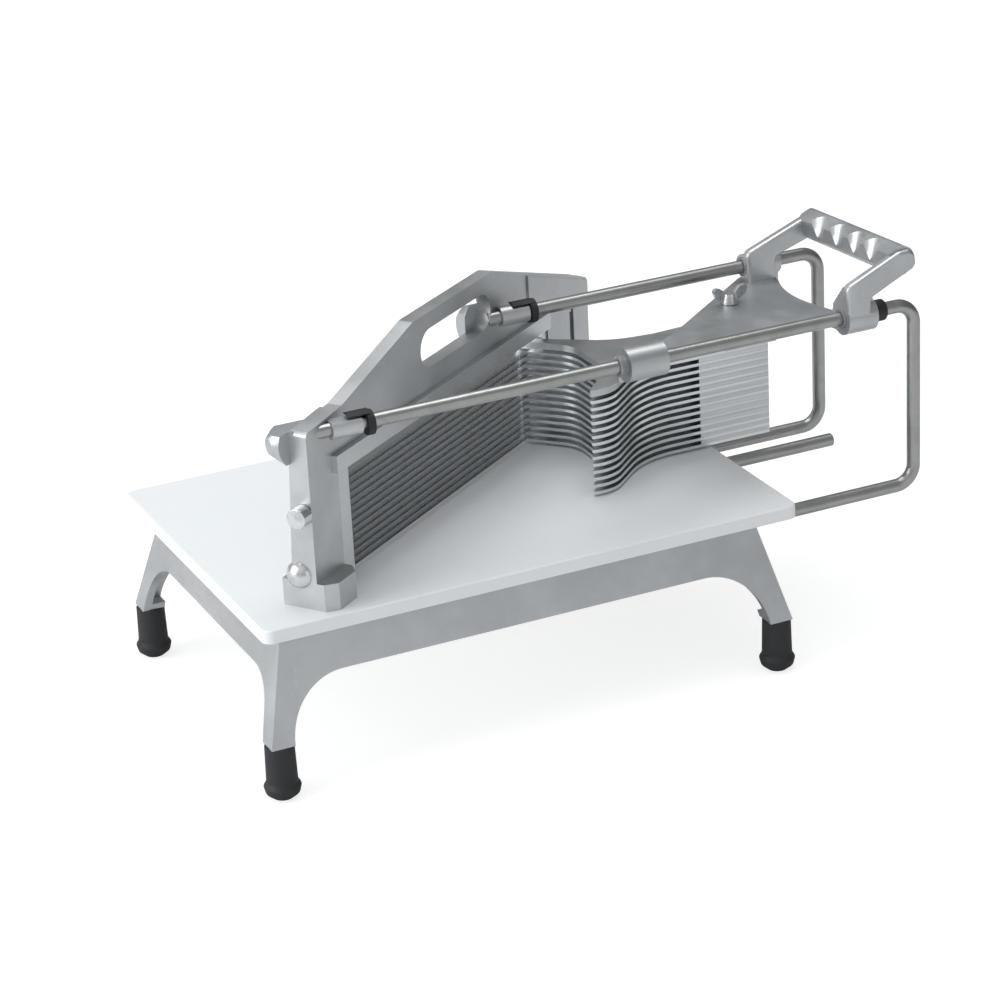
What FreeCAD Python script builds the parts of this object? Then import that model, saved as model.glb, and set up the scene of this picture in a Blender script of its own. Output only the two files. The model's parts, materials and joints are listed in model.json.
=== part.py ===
"""A hand-operated tomato slicer: a sliding pusher drives a tomato through a fixed row of blades.

Lengths are in millimetres. Plan positions are measured from the cutting board's near left corner,
x along the guide rods towards the handle, y towards the far side, and heights z from the board's
underside. The blade frame stands at an angle across the board: its own pieces are drawn along the
blade line (line), across it (across, positive on the exit side) and upwards.
"""
import FreeCAD
import Part
import math
import operator
import os
import Sketcher

SIZES = {
    # Cutting board
    "board_length": 334,
    "board_width": 230,
    "board_thickness": 7.9,
    "board_corner": 6,
    "board_edge": 1,
    "board_height": 86,
    # Base casting
    "base_left": 9,
    "base_right": 306.5,
    "base_near": 2,
    "base_far": 196,
    "apron_depth": 21,
    "base_wall": 5,
    "deck_thickness": 4,
    "deck_rim": 16,
    "leg_depth": 54,
    "leg_width": 14,
    "leg_sole": 3.5,
    "stem_root": 2,
    "arch_long_radius": 36,
    "arch_end_radius": 26,
    "arch_end_inset": 8,
    "stem_radius": 6,
    "stem_depth": 82,
    # Rubber feet
    "foot_left_x": -1,
    "foot_right_x": 311,
    "foot_near_y": -12,
    "foot_far_y": 197.5,
    "foot_top_radius": 8.4,
    "foot_lip_radius": 10.6,
    "foot_lip_height": 8,
    "foot_sole_radius": 6,
    "foot_bulge_height": 3,
    "foot_bulge_round": 2,
    "foot_edge_round": 1,
    "foot_rim": 0.6,
    "foot_rim_round": 0.4,
    "foot_shoulder": 0.5,
    "foot_shoulder_height": 2,
    "foot_top_round": 0.8,
    # Guide rods and the stop rod under the board
    "rod_radius": 4,
    "rod_height": 108.1,
    "rod_drop": 5.5,
    "rod_bend": 12,
    "rod_reach": 425,
    "rod_past_pusher": 29.4,
    "rod_near_y": 21.5,
    "rod_far_y": 132.4,
    "rod_tail": 236,
    "stop_rod_y": 105,
    "stop_rod_reach": 417.5,
    "rod_boss_width": 16,
    "rod_boss_length": 24,
    "rod_past_rib": 4,
    "rib_thickness": 6,
    "rib_depth": 15,
    "set_screw_radius": 2.5,
    # Rubber bumpers on the guide rods
    "bumper_radius": 6.4,
    "bumper_front_radius": 7.2,
    "bumper_front_width": 4,
    "bumper_rear_width": 8.4,
    "bumper_tongue_length": 11,
    "bumper_tongue_radius": 7.5,
    "bumper_tongue_rise": 6.05,
    "near_bumper_sag": 0.6,
    "near_front_bumper_x": 75.8,
    "far_front_bumper_x": 227.9,
    # Blade frame
    "blade_line_x": 172.6,
    "blade_line_y": 121,
    "blade_angle": 35.7,
    "frame_front": 10,
    "frame_corner": 3,
    "plate_thickness": 9,
    "post_outer": 174.5,
    "post_inner_top": 145,
    "post_inner_foot": 145.5,
    "post_back_top": 1,
    "post_back_foot": 6,
    "post_top": 112.5,
    "plate_low_line": 137,
    "plate_low_top": 115.5,
    "plate_low_round": 6,
    "plate_peak_start": 57.5,
    "plate_peak": 136.8,
    "plate_peak_end": 33.5,
    "plate_peak_round": 8,
    "plate_far_line": 141,
    "plate_far_top": 99,
    "plate_far_round": 5,
    "plate_end_drop": 4,
    "frame_far": 150,
    "far_post_inner": 98,
    "far_post_back": 4,
    "far_post_drop": 6,
    "plate_underside": 81,
    "window_start": 51,
    "window_end": 30,
    "window_low": 104,
    "window_high": 127,
    "foot_block_top": 24,
    "foot_block_front": 20.5,
    "foot_block_back": 12.5,
    "foot_block_right": 145,
    "foot_block_bevel": 6,
    "panel_start": 75,
    "panel_rise": 1,
    "panel_inset": 1,
    "panel_near_drop": 16,
    "panel_far_drop": 2,
    "panel_end_drop": 5,
    "groove_line": 126,
    "groove_width": 5,
    "groove_depth": 3,
    "groove_rise": 7,
    "exit_boss_radius": 12.5,
    "exit_boss_drop": 2,
    "exit_boss_root": 0.5,
    "near_nose_length": 8,
    "near_nose_radius": 5,
    "far_nose_length": 4,
    "far_nose_radius": 9,
    "near_boss_tip_x": 19,
    "far_boss_tip_x": 185,
    "rod_seat_depth": 16,
    "entry_boss_radius": 6,
    "entry_boss_setback": 3.5,
    "entry_boss_rise": 12.5,
    # Blade cartridge
    "bar_front": 13.5,
    "bar_depth": 9.5,
    "bar_low": 81,
    "bar_thickness": 10,
    "bar_near": 150.5,
    "bar_far": 96,
    "near_block_width": 11,
    "far_block_width": 6,
    "near_block_line": 133.5,
    "far_block_line": 92,
    "end_block_front": 9,
    "end_block_back": 9,
    "end_block_foot": 9.6,
    "blade_first": 12.5,
    "blade_pitch": 4.4,
    "blade_thickness": 0.5,
    "blade_front": 2,
    "blade_width": 10,
    "blade_hold": 4,
    "bar_screw_radius": 1.5,
    "bar_screw_bite": 4,
    "bar_screw_head_radius": 2.4,
    "bar_screw_head_height": 2.2,
    # Pusher
    "fin_first": 9.3,
    "fin_thickness": 2,
    "pusher_boss_radius": 10,
    "far_pusher_boss_radius": 7.5,
    "saddle_setback": 6,
    "saddle_end": 2.5,
    "near_front_boss_x": 234.6,
    "near_front_boss_length": 24.2,
    "near_rear_boss_x": 376,
    "far_rear_boss_x": 372.4,
    "rear_boss_end_x": 395.6,
    "bushing_radius": 6,
    "bushing_rise": 4,
    "rear_bushing_rise": 0.8,
    "head_plate_top": 100,
    "head_plate_thickness": 5,
    "head_edge_y": 46.5,
    "head_bend_x": 292,
    "head_bend_y": 71,
    "head_waist": 16,
    "head_setback": 2,
    "head_overlap": 4,
    "head_shoulder": 6,
    "cap_plate_low": 71,
    "cap_plate_thickness": 4,
    "riser_near_y": 104,
    "riser_far_y": 142,
    "riser_start_x": 326,
    "riser_end_x": 373.6,
    "neck_start_x": 339,
    "neck_step": 4,
    "wing_tip_x": 236.8,
    "wing_near_y": 71.3,
    "wing_far_y": 173,
    "pocket_apex_x": 262.5,
    "pocket_apex_y": 123,
    "pocket_round": 22,
    "wing_lip": 14,
    "wing_lip_round": 22,
    "wing_bend": 50,
    "wing_bend_round": 50,
    "wing_root": 76,
    "wing_root_round": 20,
    "stack_bolt_radius": 3,
    "stack_bolt_grip": 12,
    "stack_bolt_inset": 8.5,
    "stack_bolt_first": 6.8,
    "stack_bolt_pitch": 12.75,
    # Handle
    "arm_width": 7,
    "arm_round": 2.4,
    "arm_near_y": 12,
    "arm_far_y": 124,
    "arm_setback": 4,
    "arm_root_spread": 18.5,
    "arm_root_rise": 6.5,
    "arm_root_depth": 10,
    "near_foot_rise": 12,
    "near_shoulder_rise": 21,
    "far_foot_rise": 5,
    "far_shoulder_rise": 10.5,
    "grip_near_x": 413,
    "grip_far_x": 418,
    "grip_near_height": 139.5,
    "grip_far_height": 130.2,
    "grip_half_depth": 8.5,
    "grip_above": 8.6,
    "grip_below": 11,
    "grip_round": 4.4,
    "groove_first_y": 38.5,
    "groove_pitch": 20,
    "groove_growth": 0.85,
    "finger_radius": 10.5,
    "finger_foot_radius": 3.5,
    "finger_bite": 6.8,
    # Wing screw
    "wing_screw_x": 345.5,
    "wing_screw_y": 99.5,
    "wing_screw_radius": 3,
    "wing_screw_length": 20,
    "wing_hub_radius": 5.5,
    "wing_hub_height": 6,
    "wing_span": 24,
    "wing_thickness": 3,
    "wing_height": 11,
    # Thumb screws in the near post's end face
    "thumb_screw_height": 65,
    "thumb_screw_across": 5,
    "thumb_shank_radius": 3,
    "thumb_head_radius": 6,
    "thumb_head_length": 8,
    "foot_screw_height": 27.5,
    "foot_screw_across": 1.3,
    "foot_screw_shank": 3,
    "foot_screw_head": 8,
    "foot_screw_dome": 5,
    "foot_screw_length": 24,
    # Bolts from below
    "bolt_radius": 3,
    "bolt_head_radius": 5.5,
    "bolt_head_height": 3.5,
    "bolt_bite": 10,
    "board_bolt_bite": 5,
    "near_bolt_spread": 6,
    "far_bolt_spread": 18,
    "far_bolt_front": 13,
    "post_pad_size": 20,
    # Clearances
    "running_clearance": 0.05,
    "fit_clearance": 0.1,
    "stop_clearance": 0.3,
}

BLADE_COUNT = 14
FINGER_GROOVES = 4
# How far a cutting tool runs past the faces it cuts, and a difference too small to matter
OVERCUT = 1
TINY = 0.01

document = FreeCAD.newDocument("tomato_slicer")
sheet = document.addObject("Spreadsheet::Sheet", "sizes")
pieces = []


class Measure:
    """A length that carries its value now and the formula that ties it to the size table."""

    def __init__(self, value, formula):
        self.value = value
        self.formula = formula

    def __add__(self, other):
        return combine(self, "+", other)

    def __radd__(self, other):
        return combine(other, "+", self)

    def __sub__(self, other):
        return combine(self, "-", other)

    def __rsub__(self, other):
        return combine(other, "-", self)

    def __mul__(self, other):
        return combine(self, "*", other)

    def __rmul__(self, other):
        return combine(other, "*", self)

    def __truediv__(self, other):
        return combine(self, "/", other)

    def __rtruediv__(self, other):
        return combine(other, "/", self)

    def __neg__(self):
        return combine(0, "-", self)


SIGNS = {"+": operator.add, "-": operator.sub, "*": operator.mul, "/": operator.truediv}


def measure(number):
    """Turn a plain number into a Measure, and leave a Measure as it is."""
    if isinstance(number, Measure):
        return number
    return Measure(float(number), f"({float(number)})")


def combine(left, sign, right):
    left, right = measure(left), measure(right)
    value = SIGNS[sign](left.value, right.value)
    return Measure(value, f"({left.formula} {sign} {right.formula})")


def cosine(angle):
    return Measure(math.cos(math.radians(angle.value)), f"cos({angle.formula} * 1 deg)")


def sine(angle):
    return Measure(math.sin(math.radians(angle.value)), f"sin({angle.formula} * 1 deg)")


class SizeTable:
    """Every size by name, as a Measure tied to its cell in the sheet."""

    def __init__(self, sizes):
        for row, (name, value) in enumerate(sizes.items(), start=1):
            sheet.set(f"A{row}", name)
            sheet.set(f"B{row}", str(value))
            sheet.setAlias(f"B{row}", name)
            setattr(self, name, Measure(float(value), f"sizes.{name}"))


size = SizeTable(SIZES)
document.recompute()

# The origin lies on the resting plane, under the middle of the whole object.
outline_left = size.foot_left_x - size.foot_lip_radius
outline_right = size.rod_reach + size.rod_radius
outline_near = size.foot_near_y - size.foot_lip_radius
home_x = -(outline_left + outline_right) / 2
home_y = -(outline_near + size.board_width) / 2
home_z = size.board_height


def bind(item, path, number):
    item.setExpression(path, measure(number).formula)


def put_home(item, x=0, y=0, z=0):
    """Place a piece from its plan position and its height over the board's underside."""
    bind(item, "Placement.Base.x", home_x + x)
    bind(item, "Placement.Base.y", home_y + y)
    bind(item, "Placement.Base.z", home_z + z)


def put_on_blade_line(item):
    """Place a piece that is drawn along, across and above the blade line."""
    item.Placement.Rotation = FreeCAD.Rotation(FreeCAD.Vector(0, 0, 1), size.blade_angle.value)
    bind(item, "Placement.Rotation.Angle", size.blade_angle)
    put_home(item, size.blade_line_x, size.blade_line_y)


def new_body(name, place=put_home):
    body = document.addObject("PartDesign::Body", name)
    place(body)
    return body


def origin_plane(body, role):
    for feature in body.Origin.OriginFeatures:
        if feature.Role == role:
            return feature
    raise ValueError(role)


def attach(sketch, body, role, offset):
    sketch.AttachmentSupport = [(origin_plane(body, role), "")]
    sketch.MapMode = "FlatFace"
    bind(sketch, "AttachmentOffset.Base.z", offset)


def pin_point(sketch, geometry, point, x, y):
    """Hold one sketch point at x and y from the sketch's origin."""
    for direction, number in (("DistanceX", measure(x)), ("DistanceY", measure(y))):
        held = Sketcher.Constraint(direction, -1, 1, geometry, point, number.value)
        bind(sketch, f"Constraints[{sketch.addConstraint(held)}]", number)


def flat(x, y):
    return FreeCAD.Vector(measure(x).value, measure(y).value, 0)


def outline(body, name, role, corners, offset=0):
    """Draw a closed outline. A corner is (x, y), or (x, y, radius) where it is rounded."""
    sketch = body.newObject("Sketcher::SketchObject", name)
    attach(sketch, body, role, offset)
    points = [flat(corner[0], corner[1]) for corner in corners]
    count = len(corners)
    starts, ends, arcs = [], [], []
    for index, corner in enumerate(corners):
        before = (points[index - 1] - points[index]).normalize()
        after = (points[(index + 1) % count] - points[index]).normalize()
        radius = measure(corner[2]).value if len(corner) > 2 else 0
        if radius == 0:
            ends.append(points[index])
            starts.append(points[index])
            arcs.append(None)
            continue
        half = before.getAngle(after) / 2
        reach = radius / math.tan(half)
        middle = (before + after).normalize()
        centre = points[index] + middle * (radius / math.sin(half))
        ends.append(points[index] + before * reach)
        starts.append(points[index] + after * reach)
        arcs.append((centre, radius))
    lines = []
    for index in range(count):
        after = (index + 1) % count
        lines.append(sketch.addGeometry(Part.LineSegment(starts[index], ends[after])))
    for index, corner in enumerate(corners):
        line_in, line_out = lines[index - 1], lines[index]
        if arcs[index] is None:
            sketch.addConstraint(Sketcher.Constraint("Coincident", line_in, 2, line_out, 1))
            pin_point(sketch, line_out, 1, corner[0], corner[1])
            continue
        round_corner(sketch, line_in, line_out, corner, arcs[index], (ends[index], starts[index]))
    return sketch


def round_corner(sketch, line_in, line_out, corner, arc, touch):
    """Join two lines of an outline with a tangent arc whose corner stays pinned."""
    centre, radius = arc
    first = math.atan2(touch[0].y - centre.y, touch[0].x - centre.x)
    last = math.atan2(touch[1].y - centre.y, touch[1].x - centre.x)
    leftwards = (last - first) % (2 * math.pi) < math.pi
    if not leftwards:
        first, last = last, first
    circle = Part.Circle(centre, FreeCAD.Vector(0, 0, 1), radius)
    bend = sketch.addGeometry(Part.ArcOfCircle(circle, first, last))
    near_end, far_end = (1, 2) if leftwards else (2, 1)
    sketch.addConstraint(Sketcher.Constraint("Tangent", line_in, 2, bend, near_end))
    sketch.addConstraint(Sketcher.Constraint("Tangent", bend, far_end, line_out, 1))
    held = sketch.addConstraint(Sketcher.Constraint("Radius", bend, radius))
    bind(sketch, f"Constraints[{held}]", corner[2])
    mark = sketch.addGeometry(Part.Point(flat(corner[0], corner[1])), True)
    pin_point(sketch, mark, 1, corner[0], corner[1])
    sketch.addConstraint(Sketcher.Constraint("PointOnObject", mark, 1, line_in))
    sketch.addConstraint(Sketcher.Constraint("PointOnObject", mark, 1, line_out))


def rectangle(body, name, role, low, high, offset=0):
    corners = [(low[0], low[1]), (high[0], low[1]), (high[0], high[1]), (low[0], high[1])]
    return outline(body, name, role, corners, offset)


def circle(body, name, role, centre, radius, offset=0):
    sketch = body.newObject("Sketcher::SketchObject", name)
    attach(sketch, body, role, offset)
    up = FreeCAD.Vector(0, 0, 1)
    ring = sketch.addGeometry(Part.Circle(flat(*centre), up, measure(radius).value))
    held = sketch.addConstraint(Sketcher.Constraint("Radius", ring, measure(radius).value))
    bind(sketch, f"Constraints[{held}]", radius)
    pin_point(sketch, ring, 3, centre[0], centre[1])
    return sketch


def pad(body, sketch, length, name="Pad"):
    """Raise an outline along its plane's normal."""
    feature = body.newObject("PartDesign::Pad", name)
    feature.Profile = sketch
    bind(feature, "Length", length)
    sketch.Visibility = False
    return feature


def pocket(body, sketch, length, name="Pocket", backwards=False):
    """Sink an outline. A pocket runs against its plane's normal unless it is turned backwards."""
    document.recompute()
    before = body.Shape.Volume
    feature = body.newObject("PartDesign::Pocket", name)
    feature.Profile = sketch
    feature.Reversed = backwards
    bind(feature, "Length", length)
    document.recompute()
    if body.Shape.Volume >= before:
        raise ValueError(f"{name} of {body.Name} cuts nothing")
    return feature


def loft(body, first, last, name, kind="PartDesign::AdditiveLoft"):
    feature = body.newObject(kind, name)
    feature.Profile = first
    feature.Sections = [last]
    feature.Ruled = True
    return feature


def revolve(body, name, corners):
    """Turn an outline, drawn as radius and height, about the body's upright axis."""
    sketch = outline(body, f"{name}Outline", "XZ_Plane", corners)
    feature = body.newObject("PartDesign::Revolution", name)
    feature.Profile = sketch
    feature.ReferenceAxis = (sketch, ["V_Axis"])
    feature.Angle = 360
    return feature


def soften(body, test, radius, name, kind="PartDesign::Fillet"):
    """Round or bevel the edges that a test picks."""
    document.recompute()
    base = body.Tip
    names = [f"Edge{index}" for index, edge in enumerate(base.Shape.Edges, start=1) if test(edge)]
    if not names:
        raise ValueError(f"{name} of {body.Name} finds no edge")
    feature = body.newObject(kind, name)
    feature.Base = (base, names)
    bind(feature, "Size" if kind.endswith("Chamfer") else "Radius", radius)
    return feature


def at_height(height):
    """Test for an edge that lies wholly at one height of its body."""
    level = measure(height).value

    def test(edge):
        return all(abs(vertex.Z - level) < TINY for vertex in edge.Vertexes)

    return test


def box(name, low, high, place=put_home):
    """Make a plain block between two opposite corners."""
    item = document.addObject("Part::Box", name)
    for side, first, last in zip(("Length", "Width", "Height"), low, high):
        bind(item, side, measure(last) - first)
    if place is put_home:
        put_home(item, *low)
        return item
    return moved_on_blade_line(item, low)


def moved_on_blade_line(item, at):
    """Turn a primitive with the blade line and move it to its place along, across and above it."""
    along, across, up = at
    turn_x, turn_y = cosine(size.blade_angle), sine(size.blade_angle)
    item.Placement.Rotation = FreeCAD.Rotation(FreeCAD.Vector(0, 0, 1), size.blade_angle.value)
    bind(item, "Placement.Rotation.Angle", size.blade_angle)
    put_home(
        item,
        size.blade_line_x + turn_x * along - turn_y * across,
        size.blade_line_y + turn_y * along + turn_x * across,
        up,
    )
    return item


TURNS = {
    "z": FreeCAD.Rotation(),
    "x": FreeCAD.Rotation(FreeCAD.Vector(0, 1, 0), 90),
    "-x": FreeCAD.Rotation(FreeCAD.Vector(0, 1, 0), -90),
    "-z": FreeCAD.Rotation(FreeCAD.Vector(1, 0, 0), 180),
}


def cylinder(name, radius, length, at, along="z"):
    item = document.addObject("Part::Cylinder", name)
    bind(item, "Radius", radius)
    bind(item, "Height", length)
    item.Placement.Rotation = TURNS[along]
    put_home(item, *at)
    return item


def cone(name, radii, length, at, along="z"):
    item = document.addObject("Part::Cone", name)
    bind(item, "Radius1", radii[0])
    bind(item, "Radius2", radii[1])
    bind(item, "Height", length)
    item.Placement.Rotation = TURNS[along]
    put_home(item, *at)
    return item


def fuse(name, shapes):
    item = document.addObject("Part::MultiFuse", name)
    item.Shapes = shapes
    item.Refine = True
    return item


def cut(name, base, tools):
    tool = tools[0] if len(tools) == 1 else fuse(f"{name}_tools", tools)
    item = document.addObject("Part::Cut", name)
    item.Base = base
    item.Tool = tool
    item.Refine = True
    return item


def group(name, shapes):
    """Keep like pieces together as separate solids of one sub-part."""
    item = document.addObject("Part::Compound", name)
    item.Links = shapes
    return item


def keep(item, label):
    """List a finished sub-part under the name of its file."""
    item.Label = label
    pieces.append(item)
    return item


def along_line(place):
    """Plan position of a point given along and across the blade line."""
    along, across = place
    turn_x, turn_y = cosine(size.blade_angle), sine(size.blade_angle)
    x = size.blade_line_x + turn_x * along - turn_y * across
    y = size.blade_line_y + turn_y * along + turn_x * across
    return x, y


# Places that several pieces share

SIDES = {"near": size.rod_near_y, "far": size.rod_far_y}
near_foot_line = -(size.post_outer + size.foot_block_right) / 2
POST_BOLTS = [
    along_line((near_foot_line - size.near_bolt_spread, size.near_bolt_spread / 2 - size.frame_front)),
    along_line((near_foot_line + size.near_bolt_spread, size.near_bolt_spread / 2)),
    along_line((size.far_post_inner + size.far_bolt_spread / 2, -size.far_bolt_front)),
    along_line((size.far_post_inner + size.far_bolt_spread * 1.5, -size.far_bolt_front)),
]
board_bolt_inset = size.base_wall + size.deck_rim / 2
base_length = size.base_right - size.base_left
base_width = size.base_far - size.base_near
BOARD_BOLTS = [
    (size.base_right - board_bolt_inset, size.base_near + base_width * 0.35),
    (size.base_left + base_length * 0.6, size.base_near + board_bolt_inset),
    (size.base_left + board_bolt_inset, size.base_near + base_width * 0.75),
    (size.base_left + base_length * 0.45, size.base_far - board_bolt_inset),
]
FEET = {
    "near_left": (size.foot_left_x, size.foot_near_y),
    "near_right": (size.foot_right_x, size.foot_near_y),
    "far_left": (size.foot_left_x, size.foot_far_y),
    "far_right": (size.foot_right_x, size.foot_far_y),
}
RETURNS = {"near": size.rod_near_y, "far": size.rod_far_y, "stop": size.stop_rod_y}
rod_hole = size.rod_radius + size.fit_clearance
bolt_hole = size.bolt_radius + size.fit_clearance
BOSS_TIPS = {"near": size.near_boss_tip_x, "far": size.far_boss_tip_x}
NOSES = {
    "near": (size.near_nose_length, size.near_nose_radius),
    "far": (size.far_nose_length, size.far_nose_radius),
}
# The pusher is drawn parked: its rear bosses stop a set way short of the rods' far reach.
parked = size.rod_reach - size.rod_past_pusher - size.rear_boss_end_x
rear_end = parked + size.rear_boss_end_x
front_boss = parked + size.near_front_boss_x
near_rear_boss = parked + size.near_rear_boss_x
far_rear_boss = parked + size.far_rear_boss_x
riser_end = parked + size.riser_end_x
near_side = size.rod_near_y + size.pusher_boss_radius * 0.7
near_saddle = size.rod_near_y + size.pusher_boss_radius


def blade_height(number):
    return size.blade_first + number * size.blade_pitch


def fin_height(number):
    return size.fin_first + number * size.blade_pitch


def make_board():
    """White cutting board with rounded corners and holes for the frame's bolts."""
    body = new_body("BoardBody")
    corners = [
        (0, 0, size.board_corner),
        (size.board_length, 0, size.board_corner),
        (size.board_length, size.board_width, size.board_corner),
        (0, size.board_width, size.board_corner),
    ]
    pad(body, outline(body, "BoardOutline", "XY_Plane", corners), size.board_thickness)
    soften(body, at_height(size.board_thickness), size.board_edge, "BoardEdge")
    holes = [
        cylinder(f"PostBoltHole{index}", bolt_hole, size.board_thickness + 2 * OVERCUT, (x, y, -OVERCUT))
        for index, (x, y) in enumerate(POST_BOLTS)
    ]
    depth = size.board_bolt_bite + size.fit_clearance + OVERCUT
    holes += [
        cylinder(f"BoardBoltHole{index}", bolt_hole, depth, (x, y, -OVERCUT))
        for index, (x, y) in enumerate(BOARD_BOLTS)
    ]
    keep(cut("Board", body, holes), "cutting_board")


def flared(body, name, inset, depth):
    """Rectangle of the base's outside at a depth under the board, drawn in by inset."""
    half_leg = size.leg_width / 2
    share = depth / size.leg_depth
    left = size.base_left + (size.foot_left_x - half_leg - size.base_left) * share
    right = size.base_right + (size.foot_right_x + half_leg - size.base_right) * share
    near = size.base_near + (size.foot_near_y - half_leg - size.base_near) * share
    far = size.base_far + (size.foot_far_y + half_leg - size.base_far) * share
    low, high = (left + inset, near + inset), (right - inset, far - inset)
    return rectangle(body, name, "XY_Plane", low, high, -depth)


def arch(body, name, role, span, feet, inset, radius, reach):
    """Cut the arch between two legs through both walls that face each other."""
    half_leg = size.leg_width / 2
    low = -size.leg_depth
    corners = [
        (feet[0] + half_leg, low - OVERCUT),
        (feet[0] + half_leg, low),
        (span[0] + inset, -size.apron_depth, radius),
        (span[1] - inset, -size.apron_depth, radius),
        (feet[1] - half_leg, low),
        (feet[1] - half_leg, low - OVERCUT),
    ]
    sketch = outline(body, f"{name}Outline", role, corners, reach)
    pocket(body, sketch, 2 * reach, name)


def make_base():
    """Cast base: an apron under the board, open below, that flares out into four legs."""
    body = new_body("BaseBody")
    loft(body, flared(body, "Top", 0, 0), flared(body, "Bottom", 0, size.leg_depth), "Shell")
    inner_top = flared(body, "InnerTop", size.base_wall, size.deck_thickness)
    inner_low = flared(body, "InnerLow", size.base_wall, size.leg_depth - size.leg_sole)
    loft(body, inner_top, inner_low, "Hollow", "PartDesign::SubtractiveLoft")
    rim = size.base_wall + size.deck_rim
    opening = rectangle(
        body, "DeckOpening", "XY_Plane", (size.base_left + rim, size.base_near + rim),
        (size.base_right - rim, size.base_far - rim), OVERCUT,
    )
    pocket(body, opening, size.deck_thickness + 2 * OVERCUT, "DeckPocket")
    arch(
        body, "LongArch", "XZ_Plane", (size.base_left, size.base_right),
        (size.foot_left_x, size.foot_right_x), 0, size.arch_long_radius, 2 * size.base_far,
    )
    arch(
        body, "EndArch", "YZ_Plane", (size.base_near, size.base_far),
        (size.foot_near_y, size.foot_far_y), size.arch_end_inset, size.arch_end_radius, 2 * size.base_right,
    )
    added = [stem(name, place) for name, place in FEET.items()]
    added += [rod_seat(name, y) for name, y in RETURNS.items()]
    rib_x = size.rod_tail + size.rod_past_rib
    added.append(
        box(
            "RearRib", (rib_x, size.base_near + size.base_wall / 2, -size.rib_depth),
            (rib_x + size.rib_thickness, size.base_far - size.base_wall / 2, 0),
        )
    )
    added += [post_pad(index, x, y) for index, (x, y) in enumerate(POST_BOLTS)]
    casting = fuse("BaseSolid", [body] + added)
    tail = size.rod_tail - size.fit_clearance
    holes = [
        cylinder(f"RodHole_{name}", rod_hole, size.base_right, (tail, y, -size.rod_drop), "x")
        for name, y in RETURNS.items()
    ]
    for name, y in RETURNS.items():
        at = (set_screw_x(), y, -size.rod_drop)
        holes.append(cylinder(f"SetHole_{name}", size.set_screw_radius, size.rod_boss_width, at, "-z"))
    holes += [
        cylinder(f"BaseBoltHole{index}", bolt_hole, 3 * size.apron_depth, (x, y, -2 * size.apron_depth))
        for index, (x, y) in enumerate(POST_BOLTS + BOARD_BOLTS)
    ]
    keep(cut("Base", casting, holes), "base_casting")


def stem(name, place):
    """Round stem at a leg's end that the rubber foot is pushed over."""
    x, y = place
    top = size.leg_depth - size.stem_root
    return cylinder(f"Stem_{name}", size.stem_radius, size.stem_depth - top, (x, y, -top), "-z")


def set_screw_x():
    return size.base_right - size.base_wall - size.rod_boss_length / 2


def rod_seat(name, y):
    """Boss behind the right wall that a rod's end run is held in."""
    half = size.rod_boss_width / 2
    end = size.base_right - size.base_wall / 2
    low = (end - size.rod_boss_length, y - half, -size.rod_drop - half)
    return box(f"RodSeat_{name}", low, (end, y + half, 0))


def post_pad(index, x, y):
    """Pad of the base under a bolt of the blade frame."""
    half = size.post_pad_size / 2
    return box(f"PostPad{index}", (x - half, y - half, -size.deck_thickness), (x + half, y + half, 0))


def make_feet():
    for name, (x, y) in FEET.items():
        body = new_body(f"Foot_{name}")
        put_home(body, x, y, 0)
        sole, lip = -size.board_height, -size.board_height + size.foot_lip_height
        bore = size.stem_radius + size.fit_clearance
        edge, shoulder = size.foot_edge_round, size.foot_top_radius + size.foot_shoulder
        corners = [
            (0, sole),
            (size.foot_sole_radius, sole),
            (size.foot_lip_radius - edge, sole + size.foot_bulge_height, size.foot_bulge_round),
            (size.foot_lip_radius, lip - edge, edge),
            (size.foot_lip_radius - size.foot_rim, lip, size.foot_rim_round),
            (shoulder, lip + size.foot_shoulder_height, edge),
            (size.foot_top_radius, -size.leg_depth - size.fit_clearance, size.foot_top_round),
            (bore, -size.leg_depth - size.fit_clearance),
            (bore, -size.stem_depth - size.fit_clearance),
            (0, -size.stem_depth - size.fit_clearance),
        ]
        revolve(body, f"FootTurn_{name}", corners)
        keep(body, f"rubber_foot_{name}")


def make_guide_rod(side, start):
    """Round rod that runs over the board, turns down behind it and comes back under it."""
    body = new_body(f"Rod_{side}")
    put_home(body, 0, SIDES[side], 0)
    corners = [
        (start, size.rod_height),
        (size.rod_reach, size.rod_height),
        (size.rod_reach, -size.rod_drop),
        (size.rod_tail, -size.rod_drop),
    ]
    path = rod_path(body, f"Path_{side}", corners)
    section = circle(body, f"Section_{side}", "YZ_Plane", (0, size.rod_height), size.rod_radius, start)
    feature = body.newObject("PartDesign::AdditivePipe", f"Sweep_{side}")
    feature.Profile = section
    feature.Spine = (path, [])
    keep(body, f"guide_rod_{side}")


def rod_path(body, name, corners):
    """Open path of straight runs with equal tangent bends."""
    sketch = body.newObject("Sketcher::SketchObject", name)
    attach(sketch, body, "XZ_Plane", 0)
    points = [flat(x, z) for x, z in corners]
    bend = size.rod_bend.value
    lines = []
    for index in range(len(points) - 1):
        run = (points[index + 1] - points[index]).normalize()
        first = points[index] + run * (bend if index > 0 else 0)
        last = points[index + 1] - run * (bend if index + 2 < len(points) else 0)
        lines.append(sketch.addGeometry(Part.LineSegment(first, last)))
    pin_point(sketch, lines[0], 1, *corners[0])
    pin_point(sketch, lines[-1], 2, *corners[-1])
    for index in range(1, len(points) - 1):
        before = (points[index - 1] - points[index]).normalize()
        after = (points[index + 1] - points[index]).normalize()
        centre = points[index] + (before + after) * bend
        touch = (points[index] + before * bend, points[index] + after * bend)
        corner = (*corners[index], size.rod_bend)
        round_corner(sketch, lines[index - 1], lines[index], corner, (centre, bend), touch)
    return sketch


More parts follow.
